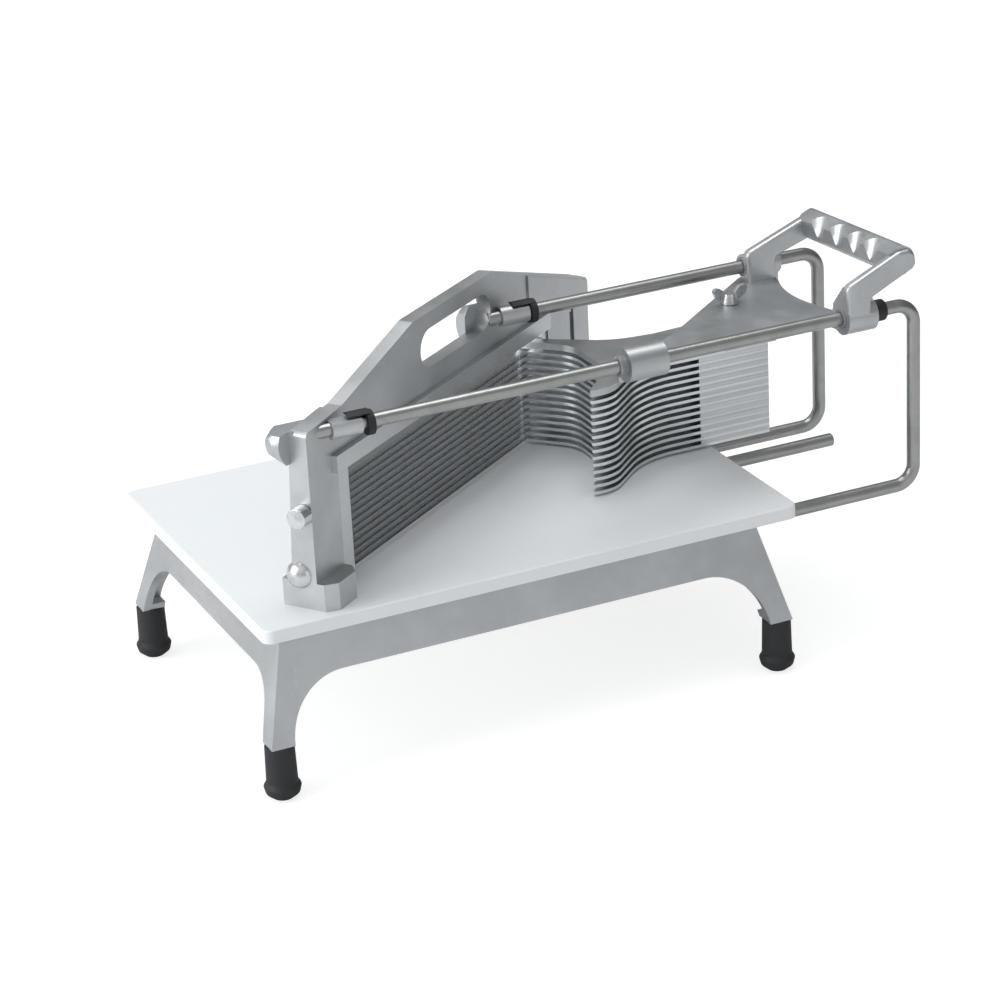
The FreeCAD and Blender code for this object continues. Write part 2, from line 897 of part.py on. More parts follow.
def make_stop_rod():
    rod = cylinder(
        "StopRod", size.rod_radius, size.stop_rod_reach - size.rod_tail,
        (size.rod_tail, size.stop_rod_y, -size.rod_drop), "x",
    )
    keep(rod, "table_stop_rod")


def make_set_screws():
    """Three headless screws that clamp the rods in the base."""
    top = size.rod_drop + size.rod_radius + size.fit_clearance
    radius = size.set_screw_radius - size.fit_clearance / 2
    length = size.rod_boss_width / 2 - size.rod_radius
    screws = [
        cylinder(f"SetScrew_{name}", radius, length, (set_screw_x(), y, -top), "-z")
        for name, y in RETURNS.items()
    ]
    keep(group("SetScrews", screws), "rod_set_screws")


def ring(name, radius, start, width, y, sag=0):
    """Rubber ring on a rod, whose outside may hang lower than the rod's axis."""
    outer = cylinder(f"{name}Outer", radius, width, (start, y, size.rod_height - sag), "x")
    bore = cylinder(f"{name}Bore", rod_hole, width + 2 * OVERCUT, (start - OVERCUT, y, size.rod_height), "x")
    return cut(name, outer, [bore])


def tongue(name, start, y):
    """Lip of a front bumper that lies over the rod, from the ring back towards the blade frame."""
    radius = size.bumper_tongue_radius
    length = size.bumper_tongue_length + size.bumper_front_width / 2
    begin = start - size.bumper_tongue_length
    whole = cylinder(f"{name}Outer", radius, length, (begin, y, size.rod_height), "x")
    low = (begin, y - radius, size.rod_height + size.bumper_tongue_rise)
    high = (start + size.bumper_front_width, y + radius, size.rod_height + radius)
    upper = document.addObject("Part::Common", f"{name}Upper")
    upper.Base = whole
    upper.Tool = box(f"{name}Stock", low, high)
    at = (begin - OVERCUT, y, size.rod_height)
    bore = cylinder(f"{name}Bore", rod_hole, length + 2 * OVERCUT, at, "x")
    return cut(name, upper, [bore])


def make_bumpers():
    """Rubber rings that stop the pusher: one with a lip on each rod in front, one on the near rod behind."""
    places = {
        "near": (size.near_front_bumper_x, size.near_bumper_sag),
        "far": (size.far_front_bumper_x, measure(0)),
    }
    width = size.bumper_front_width
    for side, (start, sag) in places.items():
        y = SIDES[side]
        front = ring(f"FrontRing_{side}", size.bumper_front_radius, start, width, y, sag)
        lip = tongue(f"FrontLip_{side}", start, y)
        keep(fuse(f"FrontBumper_{side}", [front, lip]), f"front_bumper_{side}")
    start = rear_end + size.stop_clearance
    rear = ring("RearRing", size.bumper_radius, start, size.bumper_rear_width, size.rod_near_y)
    keep(rear, "rear_bumper")


def plate_outline():
    """Front view of the blade frame above its feet."""
    return [
        (-size.post_outer, size.foot_block_top),
        (-size.post_outer, size.post_top, size.frame_corner),
        (-size.plate_low_line, size.plate_low_top, size.plate_low_round),
        (-size.plate_peak_start, size.plate_peak, size.plate_peak_round),
        (size.plate_peak_end, size.plate_peak, size.plate_peak_round),
        (size.plate_far_line, size.plate_far_top, size.plate_far_round),
        (size.frame_far, size.plate_far_top - size.plate_end_drop, size.frame_corner),
        (size.frame_far, size.foot_block_top),
        (size.far_post_inner, size.foot_block_top),
        (size.far_post_inner, size.plate_underside),
        (-size.post_inner_top, size.plate_underside),
        (-size.post_inner_foot, size.foot_block_top),
    ]


def make_frame():
    """Cast blade frame: two posts on foot blocks joined by a high plate with an oblong window."""
    body = new_body("FrameBody", put_on_blade_line)
    back = size.plate_thickness - size.frame_front
    plate = outline(body, "PlateOutline", "XZ_Plane", plate_outline(), -back)
    pad(body, plate, size.plate_thickness, "Plate")
    near_post = [
        (-size.post_outer, size.foot_block_top),
        (-size.post_outer, size.post_top, size.frame_corner),
        (-size.plate_low_line, size.plate_low_top, size.plate_low_round),
        (-size.plate_low_line, size.plate_underside),
        (-size.post_inner_top, size.plate_underside),
        (-size.post_inner_foot, size.foot_block_top),
    ]
    sketch = outline(body, "NearPost", "XZ_Plane", near_post, -size.post_back_foot)
    pad(body, sketch, size.post_back_foot + size.frame_front - OVERCUT, "NearPostPad")
    slope = [
        (size.post_back_foot, size.foot_block_top),
        (size.post_back_foot + OVERCUT, size.foot_block_top),
        (size.post_back_foot + OVERCUT, size.plate_peak),
        (size.post_back_top, size.plate_peak),
        (size.post_back_top, size.post_top),
    ]
    pocket(body, outline(body, "PostSlope", "YZ_Plane", slope), size.post_outer + OVERCUT, "PostSlopeCut")
    far_post = rectangle(
        body, "FarPost", "XZ_Plane", (size.far_post_inner, size.foot_block_top),
        (size.frame_far, size.plate_far_top - size.far_post_drop), -size.far_post_back,
    )
    pad(body, far_post, size.far_post_back + size.frame_front - OVERCUT, "FarPostPad")
    panel_end = size.frame_far - size.panel_inset
    panel = [
        (size.panel_start, size.plate_underside),
        (panel_end, size.plate_underside),
        (panel_end, size.plate_far_top - size.panel_end_drop),
        (size.plate_far_line - size.panel_inset, size.plate_far_top - size.panel_far_drop),
        (size.panel_start, size.plate_peak - size.panel_near_drop),
    ]
    sketch = outline(body, "Panel", "XZ_Plane", panel, size.frame_front - OVERCUT)
    pad(body, sketch, size.panel_rise + OVERCUT, "PanelPad")
    make_foot_blocks(body)
    radius = (size.window_high - size.window_low) / 2 - TINY
    window = [
        (-size.window_start, size.window_low, radius),
        (size.window_end, size.window_low, radius),
        (size.window_end, size.window_high, radius),
        (-size.window_start, size.window_high, radius),
    ]
    sketch = outline(body, "Window", "XZ_Plane", window, size.frame_front + OVERCUT)
    pocket(body, sketch, size.plate_thickness + 2 * OVERCUT, "WindowCut")
    rebate = rectangle(
        body, "Rebate", "XY_Plane",
        (-size.bar_near - size.fit_clearance, -size.bar_front - size.panel_rise),
        (size.far_post_inner, size.bar_depth - size.bar_front + size.fit_clearance),
        size.bar_low + size.bar_thickness + size.fit_clearance,
    )
    pocket(body, rebate, size.bar_thickness + 2 * size.fit_clearance, "RebateCut")
    groove = rectangle(
        body, "Groove", "XZ_Plane", (size.groove_line, size.foot_block_top),
        (size.groove_line + size.groove_width, size.plate_underside + size.groove_rise),
        size.frame_front + size.panel_rise + OVERCUT,
    )
    pocket(body, groove, size.panel_rise + size.groove_depth + OVERCUT, "GrooveCut")
    finish_frame(body)


def make_foot_blocks(body):
    """Blocks that stand on the board under both posts."""
    bevel = size.foot_block_bevel
    front, back = -size.foot_block_front, size.foot_block_back
    height = size.foot_block_top - size.board_thickness
    near = [
        (-size.post_outer, front + bevel),
        (-size.post_outer + bevel, front),
        (-size.foot_block_right - bevel, front),
        (-size.foot_block_right, front + bevel),
        (-size.foot_block_right, back - bevel / 2),
        (-size.foot_block_right - bevel / 2, back),
        (-size.post_outer, back),
    ]
    far = [
        (size.far_post_inner, front + bevel),
        (size.far_post_inner + bevel, front),
        (size.frame_far - bevel, front),
        (size.frame_far, front + bevel),
        (size.frame_far, back),
        (size.far_post_inner, back),
    ]
    for name, corners in (("NearFoot", near), ("FarFoot", far)):
        block = outline(body, f"{name}Outline", "XY_Plane", corners, size.board_thickness)
        pad(body, block, height, f"{name}Pad")


def rod_bosses(side, y):
    """Boss on the plate's back with a tapered nose, and a collar on its front round the rod."""
    radius, (nose, nose_radius) = size.exit_boss_radius, NOSES[side]
    start = BOSS_TIPS[side] + nose
    at = (start, y, size.rod_height - size.exit_boss_drop)
    root = size.plate_thickness - size.frame_front - size.exit_boss_root
    end = plate_crossing(y + radius, root)
    barrel = cylinder(f"ExitBarrel_{side}", radius, end - start, at, "x")
    tip = cone(f"ExitNose_{side}", (radius, nose_radius), nose, at, "-x")
    reach = size.board_length
    trims = [box(f"ExitTrim_{side}", (-reach, -reach, 0), (reach, root, reach), put_on_blade_line)]
    if side == "near":
        corner = (-size.post_outer, size.post_back_top, reach)
        trims.append(box("EndFaceTrim", (-reach, -reach, 0), corner, put_on_blade_line))
    exit_boss = cut(f"ExitBoss_{side}", fuse(f"ExitSolid_{side}", [barrel, tip]), trims)
    begin = plate_crossing(y, -size.frame_front) + size.entry_boss_setback
    outside = plate_crossing(y, -size.frame_front - size.entry_boss_rise)
    at = (begin, y, size.rod_height)
    entry_boss = cylinder(f"EntryBoss_{side}", size.entry_boss_radius, outside - begin, at, "x")
    bosses = [exit_boss, entry_boss]
    if side == "far":
        return bosses
    low = (BOSS_TIPS[side] - OVERCUT, y - radius - OVERCUT, size.post_top)
    ceiling = box("BossCeiling", low, (outside + reach, y + radius + OVERCUT, size.plate_peak))
    return [cut("NearBosses", fuse("NearBossSolid", bosses), [ceiling])]


def finish_frame(body):
    """Add the bosses that hold the guide rods, and cut the holes for rods, screws and bolts."""
    added, holes = [], []
    for side, y in SIDES.items():
        added += rod_bosses(side, y)
        at = (rod_start(side) - size.fit_clearance, y, size.rod_height)
        holes.append(cylinder(f"FrameRodHole_{side}", rod_hole, size.rod_reach, at, "x"))
    depth = size.bolt_bite + size.fit_clearance + OVERCUT
    for index, (x, y) in enumerate(POST_BOLTS):
        at = (x, y, size.board_thickness - OVERCUT)
        holes.append(cylinder(f"FrameBoltHole{index}", size.bolt_radius, depth, at))
    solid = fuse("FrameSolid", [body] + added)
    holes += [thumb_screw_hole(), foot_screw_hole()]
    keep(cut("Frame", solid, holes), "blade_frame")


def plate_crossing(y, across):
    """Plan x at which a line along x at this y lies across the blade line by the given amount."""
    turn_x, turn_y = cosine(size.blade_angle), sine(size.blade_angle)
    return size.blade_line_x + (turn_x * (y - size.blade_line_y) - across) / turn_y


def rod_start(side):
    return BOSS_TIPS[side] + size.rod_seat_depth


def on_end_face(name, radius, length, height, across, out=0):
    """Round bar along the blade line that starts out from the near post's end face."""
    item = document.addObject("Part::Cylinder", name)
    bind(item, "Radius", radius)
    bind(item, "Height", length)
    place_on_end_face(item, height, across, out)
    return item


def place_on_end_face(item, height, across, out):
    """Lay a round primitive along the blade line, pointing into the near post."""
    turned = FreeCAD.Rotation(FreeCAD.Vector(0, 0, 1), size.blade_angle.value)
    item.Placement.Rotation = turned * TURNS["x"]
    x, y = along_line((-size.post_outer - out, -across))
    put_home(item, x, y, height)


def thumb_screw_hole():
    radius, length = size.thumb_shank_radius + size.running_clearance, size.post_outer - size.near_block_line
    at = (size.thumb_screw_height, size.thumb_screw_across, OVERCUT)
    return on_end_face("ThumbScrewHole", radius, length, *at)


def foot_screw_hole():
    radius = size.foot_screw_shank + size.running_clearance
    length = size.foot_screw_length + size.fit_clearance + OVERCUT
    at = (size.foot_screw_height, -size.foot_screw_across, OVERCUT)
    return on_end_face("FootScrewHole", radius, length, *at)


def make_thumb_screws():
    """Round-headed screw that presses on the blade cartridge, and a domed one at the post's foot."""
    gap = size.stop_clearance
    block_end = size.near_block_line + size.near_block_width
    shank = on_end_face(
        "ThumbShank", size.thumb_shank_radius, size.post_outer - block_end - gap,
        size.thumb_screw_height, size.thumb_screw_across, 0,
    )
    head = on_end_face(
        "ThumbHead", size.thumb_head_radius, size.thumb_head_length,
        size.thumb_screw_height, size.thumb_screw_across, size.thumb_head_length + gap,
    )
    neck = on_end_face(
        "ThumbNeck", size.thumb_shank_radius, gap * 2,
        size.thumb_screw_height, size.thumb_screw_across, gap * 2,
    )
    keep(fuse("ThumbScrew", [head, neck, shank]), "cartridge_thumb_screw")
    at = (size.foot_screw_height, -size.foot_screw_across)
    shank = on_end_face("FootShank", size.foot_screw_shank, size.foot_screw_length, *at)
    dome = document.addObject("Part::Sphere", "FootDome")
    sphere = (size.foot_screw_head * size.foot_screw_head / size.foot_screw_dome + size.foot_screw_dome) / 2
    bind(dome, "Radius", sphere)
    place_on_end_face(dome, *at, size.foot_screw_dome - sphere)
    stock = on_end_face("DomeStock", size.foot_screw_head, size.foot_screw_dome, *at, size.foot_screw_dome)
    head = document.addObject("Part::Common", "FootHead")
    head.Base = dome
    head.Tool = stock
    keep(fuse("FootScrew", [head, shank]), "post_foot_screw")


def make_cartridge():
    """Top bar and two end blocks that hold the blades in slots."""
    bar = box(
        "TopBar", (-size.bar_near, -size.bar_front, size.bar_low),
        (size.bar_far, size.bar_depth - size.bar_front, size.bar_low + size.bar_thickness), put_on_blade_line,
    )
    places = {
        "near": (-size.near_block_line - size.near_block_width, size.near_block_width),
        "far": (size.far_block_line, size.far_block_width),
    }
    holes, screws = [], []
    for side, (line, width) in places.items():
        middle = line + width / 2
        x, y = along_line((middle, -(size.end_block_front + size.bar_front - size.bar_depth) / 2))
        hole = size.bar_screw_radius + size.fit_clearance
        at = (x, y, size.bar_low - OVERCUT)
        holes.append(cylinder(f"BarScrewHole_{side}", hole, size.bar_thickness + 2 * OVERCUT, at))
        at = (x, y, size.bar_low + size.bar_thickness - size.bar_screw_head_height)
        length = size.bar_thickness + size.bar_screw_bite
        shank = cylinder(f"BarScrewShank_{side}", size.bar_screw_radius, length, at, "-z")
        head = cylinder(f"BarScrewHead_{side}", size.bar_screw_head_radius, size.bar_screw_head_height, at)
        screws.append(fuse(f"BarScrew_{side}", [shank, head]))
        sink = size.bar_screw_head_radius + size.fit_clearance
        holes.append(cylinder(f"BarScrewSink_{side}", sink, size.bar_screw_head_height + OVERCUT, at))
        make_end_block(side, line, width, x, y)
    keep(cut("CartridgeBar", bar, holes), "cartridge_top_bar")
    keep(group("BarScrews", screws), "cartridge_screws")


def make_end_block(side, line, width, x, y):
    """Upright block with a slot for each blade's end."""
    low = (line, -size.end_block_front, size.end_block_foot)
    high = (line + width, size.end_block_back, size.bar_low)
    block = box(f"EndBlock_{side}", low, high, put_on_blade_line)
    depth = size.bar_thickness + size.bar_screw_bite * 2
    at = (x, y, size.bar_low + OVERCUT)
    slots = [cylinder(f"BlockScrewHole_{side}", size.bar_screw_radius, depth, at, "-z")]
    inner = line + width - size.blade_hold if side == "near" else line
    for number in range(BLADE_COUNT):
        slots.append(blade_stock(f"Slot_{side}_{number}", number, inner, inner + size.blade_hold))
    keep(cut(f"Block_{side}", block, slots), f"cartridge_{side}_block")


def blade_stock(name, number, start, end):
    """Block of a blade's section at its height, from one place along the blade line to another."""
    middle, half = blade_height(number), size.blade_thickness / 2
    low = (start, -size.blade_front, middle - half)
    high = (end, size.blade_width - size.blade_front, middle + half)
    return box(name, low, high, put_on_blade_line)


def make_blades():
    start = -size.near_block_line - size.blade_hold
    end = size.far_block_line + size.blade_hold
    for number in range(BLADE_COUNT):
        keep(blade_stock(f"Blade{number + 1}", number, start, end), f"blade_{number + 1:02d}")


def fin_outline():
    """Plan of a fin: two wings round a wide pocket for the fruit, and a tongue behind it."""
    tip, near, far = parked + size.wing_tip_x, size.wing_near_y, size.wing_far_y
    bend, bend_round = tip + size.wing_bend, size.wing_bend_round
    pocket_x, pocket_y, pocket_round = parked + size.pocket_apex_x, size.pocket_apex_y, size.pocket_round
    return [
        (tip, near + 1.5, 1),
        (tip + size.wing_lip, near - 0.5, size.wing_lip_round),
        (bend, size.riser_near_y, bend_round),
        (riser_end, size.riser_near_y),
        (riser_end, size.riser_far_y),
        (tip + size.wing_root, size.riser_far_y - 4, size.wing_root_round),
        (bend, far - 32, bend_round),
        (tip + 16, far - 7.5, 6),
        (tip + 10, far - 3, 3),
        (tip + 5, far, 2),
        (tip + 1, far - 1, 1),
        (pocket_x, pocket_y + pocket_round, pocket_round),
        (pocket_x, pocket_y - pocket_round, pocket_round),
    ]


def stack_bolt_places():
    x, y = riser_end - size.stack_bolt_inset, size.riser_near_y + size.stack_bolt_first
    return [(x, y), (x, y + size.stack_bolt_pitch)]


def stack_holes(name, low, high):
    """Holes through the pusher's stack for its bolts."""
    radius = size.stack_bolt_radius + size.fit_clearance
    return [
        cylinder(f"{name}Hole{index}", radius, high - low + 2 * OVERCUT, (x, y, low - OVERCUT))
        for index, (x, y) in enumerate(stack_bolt_places())
    ]


def make_fins():
    corners = fin_outline()
    for number in range(BLADE_COUNT):
        low = fin_height(number)
        body = new_body(f"FinBody{number + 1}")
        pad(body, outline(body, f"FinOutline{number + 1}", "XY_Plane", corners, low), size.fin_thickness)
        holes = stack_holes(f"Fin{number + 1}_", low, low + size.fin_thickness)
        keep(cut(f"Fin{number + 1}", body, holes), f"pusher_fin_{number + 1:02d}")


def riser_outline():
    """Plan of the spacers and the riser: cut back in front, alongside the blades."""
    rise = (size.riser_far_y - size.riser_near_y) / 3
    run = (size.riser_far_y - size.riser_near_y - rise) / sine(size.blade_angle) * cosine(size.blade_angle)
    start = parked + size.riser_start_x
    return [
        (start, size.riser_near_y),
        (riser_end, size.riser_near_y),
        (riser_end, size.riser_far_y),
        (start + run, size.riser_far_y),
        (start, size.riser_near_y + rise),
    ]


def make_spacers():
    """Spacers between the fins, and one between the last fin and the casting's cap plate."""
    spacers = []
    for number in range(BLADE_COUNT):
        low = fin_height(number) + size.fin_thickness
        high = size.cap_plate_low if number == BLADE_COUNT - 1 else fin_height(number + 1)
        body = new_body(f"SpacerBody{number + 1}")
        pad(body, outline(body, f"SpacerOutline{number + 1}", "XY_Plane", riser_outline(), low), high - low)
        spacers.append(cut(f"Spacer{number + 1}", body, stack_holes(f"Spacer{number + 1}_", low, high)))
    keep(group("Spacers", spacers), "fin_spacers")


def make_stack_bolts():
    """Bolts from under the fins up into the pusher casting."""
    bolts = []
    low = size.fin_first
    high = size.cap_plate_low + size.cap_plate_thickness + size.stack_bolt_grip
    for index, (x, y) in enumerate(stack_bolt_places()):
        bolts.append(cylinder(f"StackBolt{index}", size.stack_bolt_radius, high - low, (x, y, low)))
    keep(group("StackBolts", bolts), "fin_stack_bolts")


def head_outline():
    """Plan of the head plate: from the near front boss across to the far rear boss, waisted behind."""
    front, rear = front_boss + size.head_setback, rear_end - size.head_setback
    shoulder = rear_end - size.head_shoulder
    edge, far_edge = size.head_edge_y, size.rod_far_y + size.head_overlap
    rear_tab = near_rear_boss + size.saddle_setback
    front_end = front_boss + size.near_front_boss_length
    return [
        (front, near_side),
        (front, edge - 8, 5),
        (parked + size.head_bend_x, size.head_bend_y, 60),
        (far_rear_boss, far_edge, 4),
        (rear_end - size.saddle_end, far_edge),
        (shoulder, size.rod_far_y - 14),
        (rear_end - size.head_waist, (edge + size.rod_far_y) / 2 + 4, 70),
        (shoulder, edge + 12, 12),
        (rear, edge),
        (rear, near_side),
        (rear_tab, near_side),
        (rear_tab, edge, 8),
        (front_end, edge, 8),
        (front_end, near_side),
    ]


def pusher_bosses(low):
    """Bosses on the rods with the saddles that join them to the head plate, and their bores."""
    radius, small = size.pusher_boss_radius, size.far_pusher_boss_radius
    bosses = {
        "near_front": (front_boss, front_boss + size.near_front_boss_length, size.rod_near_y, radius),
        "near_rear": (near_rear_boss, rear_end, size.rod_near_y, radius),
        "far_rear": (far_rear_boss, rear_end, size.rod_far_y, small),
    }
    saddles = {
        "near_front": (front_boss, front_boss + size.near_front_boss_length, near_side, near_saddle),
        "near_rear": (near_rear_boss + size.saddle_setback, rear_end, near_side, near_saddle),
        "far_rear": (far_rear_boss, rear_end - size.saddle_end, size.rod_far_y - small, size.rod_far_y),
    }
    added = [
        box(f"Saddle_{name}", (start, low_y, low), (end, high_y, size.rod_height))
        for name, (start, end, low_y, high_y) in saddles.items()
    ]
    bores = []
    for name, (start, end, y, outside) in bosses.items():
        added.append(cylinder(f"Boss_{name}", outside, end - start, (start, y, size.rod_height), "x"))
        at = (start - OVERCUT, y, size.rod_height)
        bores.append(cylinder(f"BossBore_{name}", size.bushing_radius, end - start + 2 * OVERCUT, at, "x"))
    return added, bores


def make_pusher():
    """Pusher casting: three bosses on the rods, a head plate, a cap over the fins and the handle."""
    body = new_body("PusherBody")
    low = size.head_plate_top - size.head_plate_thickness
    sketch = outline(body, "HeadOutline", "XY_Plane", head_outline(), low)
    pad(body, sketch, size.head_plate_thickness, "HeadPlate")
    cap_low = size.cap_plate_low
    sketch = outline(body, "CapOutline", "XY_Plane", fin_outline(), cap_low)
    pad(body, sketch, size.cap_plate_thickness, "CapPlate")
    step = size.neck_step
    neck_start, neck_near = parked + size.neck_start_x, size.wing_screw_y - size.wing_hub_radius
    neck = [
        (neck_start, neck_near),
        (riser_end, neck_near),
        (riser_end, size.rod_far_y - step),
        (riser_end - step, size.rod_far_y - step),
        (neck_start, size.riser_near_y + step),
    ]
    riser = outline(body, "RiserOutline", "XY_Plane", neck, cap_low + OVERCUT)
    pad(body, riser, low - cap_low, "Riser")
    added, holes = pusher_bosses(low)
    added += make_handle()
    x, y = parked + size.wing_screw_x, size.wing_screw_y
    depth = size.wing_screw_length
    at = (x, y, size.head_plate_top - depth + OVERCUT)
    holes.append(cylinder("WingScrewHole", size.wing_screw_radius + size.running_clearance, depth, at))
    depth = size.cap_plate_thickness + size.stack_bolt_grip + OVERCUT
    for index, (x, y) in enumerate(stack_bolt_places()):
        at = (x, y, cap_low - OVERCUT)
        holes.append(cylinder(f"CastBoltHole{index}", size.stack_bolt_radius, depth, at))
    solid = fuse("PusherSolid", [body] + added)
    keep(cut("Pusher", solid, holes), "pusher_casting")


def flat_across(edge):
    """Test for an edge that lies in one of an arm's two side faces."""
    return edge.BoundBox.YLength < TINY


def arm_outline(boss, rises, x, top, low):
    """Side view of a handle arm, from its boss up and back to the grip."""
    foot, shoulder = size.rod_height + rises[0], size.rod_height + rises[1]
    back = rear_end - size.arm_setback
    return [
        (boss, low),
        (boss - 1, shoulder, 5),
        (x - 3, top + 5, 7),
        (x + 7, top + 5.5, 5),
        (x + size.grip_half_depth + 0.5, top - 5.8, 5),
        (back, foot, 3),
        (back, low),
    ]


def arm_root():
    """Web that spreads the near arm's foot over the whole width of its boss."""
    near, height = size.arm_near_y + OVERCUT, size.rod_height
    inner, spread = size.arm_near_y + size.arm_width, size.arm_near_y + size.arm_root_spread
    web = new_body("ArmRoot")
    corners = [
        (near, height),
        (spread, height),
        (spread, height + size.arm_root_rise),
        (inner, height + size.near_shoulder_rise - OVERCUT),
        (near, height + size.near_shoulder_rise - OVERCUT),
    ]
    sketch = outline(web, "ArmRootOutline", "YZ_Plane", corners, near_rear_boss)
    pad(web, sketch, size.arm_root_depth, "ArmRootPad")
    return web


def grip_section(x, top):
    """Section of the grip: an oval, fuller in front towards its top."""
    front, rear, bend = x - size.grip_half_depth, x + size.grip_half_depth, size.grip_round
    return [
        (front, top + 5, bend * 0.8),
        (x, top + size.grip_above, bend),
        (rear - 1, top + 4.5, bend),
        (rear, top - 4, bend),
        (x + 2.5, top - size.grip_below, bend),
        (front + 2, top - size.grip_below + 1.8, bend),
    ]


def make_handle():
    """Two arms and a grip with finger grooves on its front, set lower and farther back at the far arm."""
    near_x, far_x = parked + size.grip_near_x, parked + size.grip_far_x
    near_rises = (size.near_foot_rise, size.near_shoulder_rise)
    far_rises = (size.far_foot_rise, size.far_shoulder_rise)
    plate = size.head_plate_top - size.head_plate_thickness
    arms = {
        "near": (size.arm_near_y, near_rear_boss, near_rises, near_x, size.grip_near_height, size.rod_height),
        "far": (size.arm_far_y, far_rear_boss, far_rises, far_x, size.grip_far_height, plate),
    }
    added = []
    for side, (y, *side_view) in arms.items():
        arm = new_body(f"Arm_{side}")
        corners = arm_outline(*side_view)
        sketch = outline(arm, f"ArmOutline_{side}", "XZ_Plane", corners, -(y + size.arm_width))
        pad(arm, sketch, size.arm_width, f"ArmPad_{side}")
        soften(arm, flat_across, size.arm_round, f"ArmEdges_{side}")
        added.append(arm)
    grip = new_body("Grip")
    inset = size.arm_width / 2
    near_y, far_y = size.arm_near_y + inset, size.arm_far_y + inset
    sections = [
        outline(grip, "GripNearEnd", "XZ_Plane", grip_section(near_x, size.grip_near_height), -near_y),
        outline(grip, "GripFarEnd", "XZ_Plane", grip_section(far_x, size.grip_far_height), -far_y),
    ]
    loft(grip, *sections, "GripBar")
    tools = []
    radii = (size.finger_foot_radius, size.finger_radius)
    for number in range(FINGER_GROOVES):
        growth = size.groove_growth * (number * (number - 1))
        y = size.groove_first_y + size.groove_pitch * number + growth
        share = (y - near_y) / (far_y - near_y)
        x = near_x + (far_x - near_x) * share
        centre = x - size.grip_half_depth - size.finger_radius + size.finger_bite
        top = size.grip_near_height + (size.grip_far_height - size.grip_near_height) * share
        foot = top - size.grip_below
        height = size.grip_above + size.grip_below
        tools.append(cone(f"FingerGroove{number}", radii, height, (centre, y, foot)))
    return added + [arm_root(), cut("GripSolid", grip, tools)]


def make_bushings():
    """Nylon sleeves that slide on the rods, each standing out of its boss at the front."""
    places = {
        "near_front": (front_boss, size.bushing_rise, front_boss + size.near_front_boss_length),
        "near_rear": (near_rear_boss, size.rear_bushing_rise, rear_end),
        "far_rear": (far_rear_boss, size.rear_bushing_rise, rear_end),
    }
    radius = size.rod_radius + size.running_clearance
    for name, (boss, rise, end) in places.items():
        y = SIDES[name.split("_")[0]]
        start = boss - rise
        length = end - start
        at = (start, y, size.rod_height)
        outer = cylinder(f"Bushing_{name}_Outer", size.bushing_radius, length, at, "x")
        at = (start - OVERCUT, y, size.rod_height)
        bore = cylinder(f"Bushing_{name}_Bore", radius, length + 2 * OVERCUT, at, "x")
        keep(cut(f"Bushing_{name}", outer, [bore]), f"slide_bushing_{name}")


def make_wing_screw():
    """Screw with two upright wings that clamps the head plate."""
    x, y, top = parked + size.wing_screw_x, size.wing_screw_y, size.head_plate_top
    gap = size.stop_clearance
    body = new_body("Wings")
    half, hub, high = size.wing_span / 2, size.wing_hub_radius, size.wing_height
    base = top + gap
    dip = base + size.wing_hub_height - 1
    wings = [
        (x - hub * 0.7, base + 1),
        (x - half * 0.85, base + high * 0.4, 2),
        (x - half, base + high, 2),
        (x - half * 0.5, base + high * 0.85, 2),
        (x - 2, dip, 1),
        (x + 2, dip, 1),
        (x + half * 0.5, base + high * 0.85, 2),
        (x + half, base + high, 2),
        (x + half * 0.85, base + high * 0.4, 2),
        (x + hub * 0.7, base + 1),
    ]
    sketch = outline(body, "WingOutline", "XZ_Plane", wings, -(y + size.wing_thickness / 2))
    pad(body, sketch, size.wing_thickness, "WingPad")
    hub_item = cone("WingHub", (hub, hub * 0.75), size.wing_hub_height, (x, y, base))
    length = size.wing_screw_length
    shank = cylinder("WingShank", size.wing_screw_radius, length, (x, y, base + OVERCUT), "-z")
    keep(fuse("WingScrew", [body, hub_item, shank]), "wing_screw")


def hex_head(name, x, y, top, radius, height):
    """Six-sided bolt head that hangs below a height."""
    head = document.addObject("Part::Prism", name)
    head.Polygon = 6
    bind(head, "Circumradius", radius)
    bind(head, "Height", height)
    put_home(head, x, y, top - height)
    return head


def make_bolts():
    """Bolts from below: through base and board into the frame, and from the base into the board."""
    groups = {
        "frame_bolts": (POST_BOLTS, size.board_thickness + size.bolt_bite),
        "board_screws": (BOARD_BOLTS, size.board_bolt_bite),
    }
    under = -size.deck_thickness
    for label, (places, top) in groups.items():
        bolts = []
        for index, (x, y) in enumerate(places):
            head = hex_head(f"{label}_head{index}", x, y, under, size.bolt_head_radius, size.bolt_head_height)
            at = (x, y, under - OVERCUT)
            shank = cylinder(f"{label}_shank{index}", size.bolt_radius, top - under + OVERCUT, at)
            bolts.append(fuse(f"{label}_{index}", [head, shank]))
        keep(group(label, bolts), label)


def check(item):
    """Stop when an object failed or a sub-part has no sound shape."""
    bad = [word for word in item.State if word in ("Invalid", "Error")]
    if bad:
        raise ValueError(f"{item.Name} ({item.Label}): {item.State}")


def write_pieces():
    os.makedirs("parts", exist_ok=True)
    for item in pieces:
        shape = item.Shape
        if shape.isNull() or not shape.isValid() or not shape.Solids:
            raise ValueError(f"{item.Label} has no valid solid")
        shape.exportStep(f"parts/{item.Label}.step")


make_board()
make_base()
make_feet()
make_guide_rod("near", rod_start("near"))
make_guide_rod("far", rod_start("far"))
make_stop_rod()
make_set_screws()
make_bumpers()
make_frame()
make_thumb_screws()
make_cartridge()
make_blades()
make_fins()
make_spacers()
make_stack_bolts()
make_pusher()
make_bushings()
make_wing_screw()
make_bolts()
document.recompute()
for entry in document.Objects:
    check(entry)
write_pieces()
print(f"{len(pieces)} sub-parts written")
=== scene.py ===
"""Looks of a hand-operated tomato slicer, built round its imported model."""

import json
import math

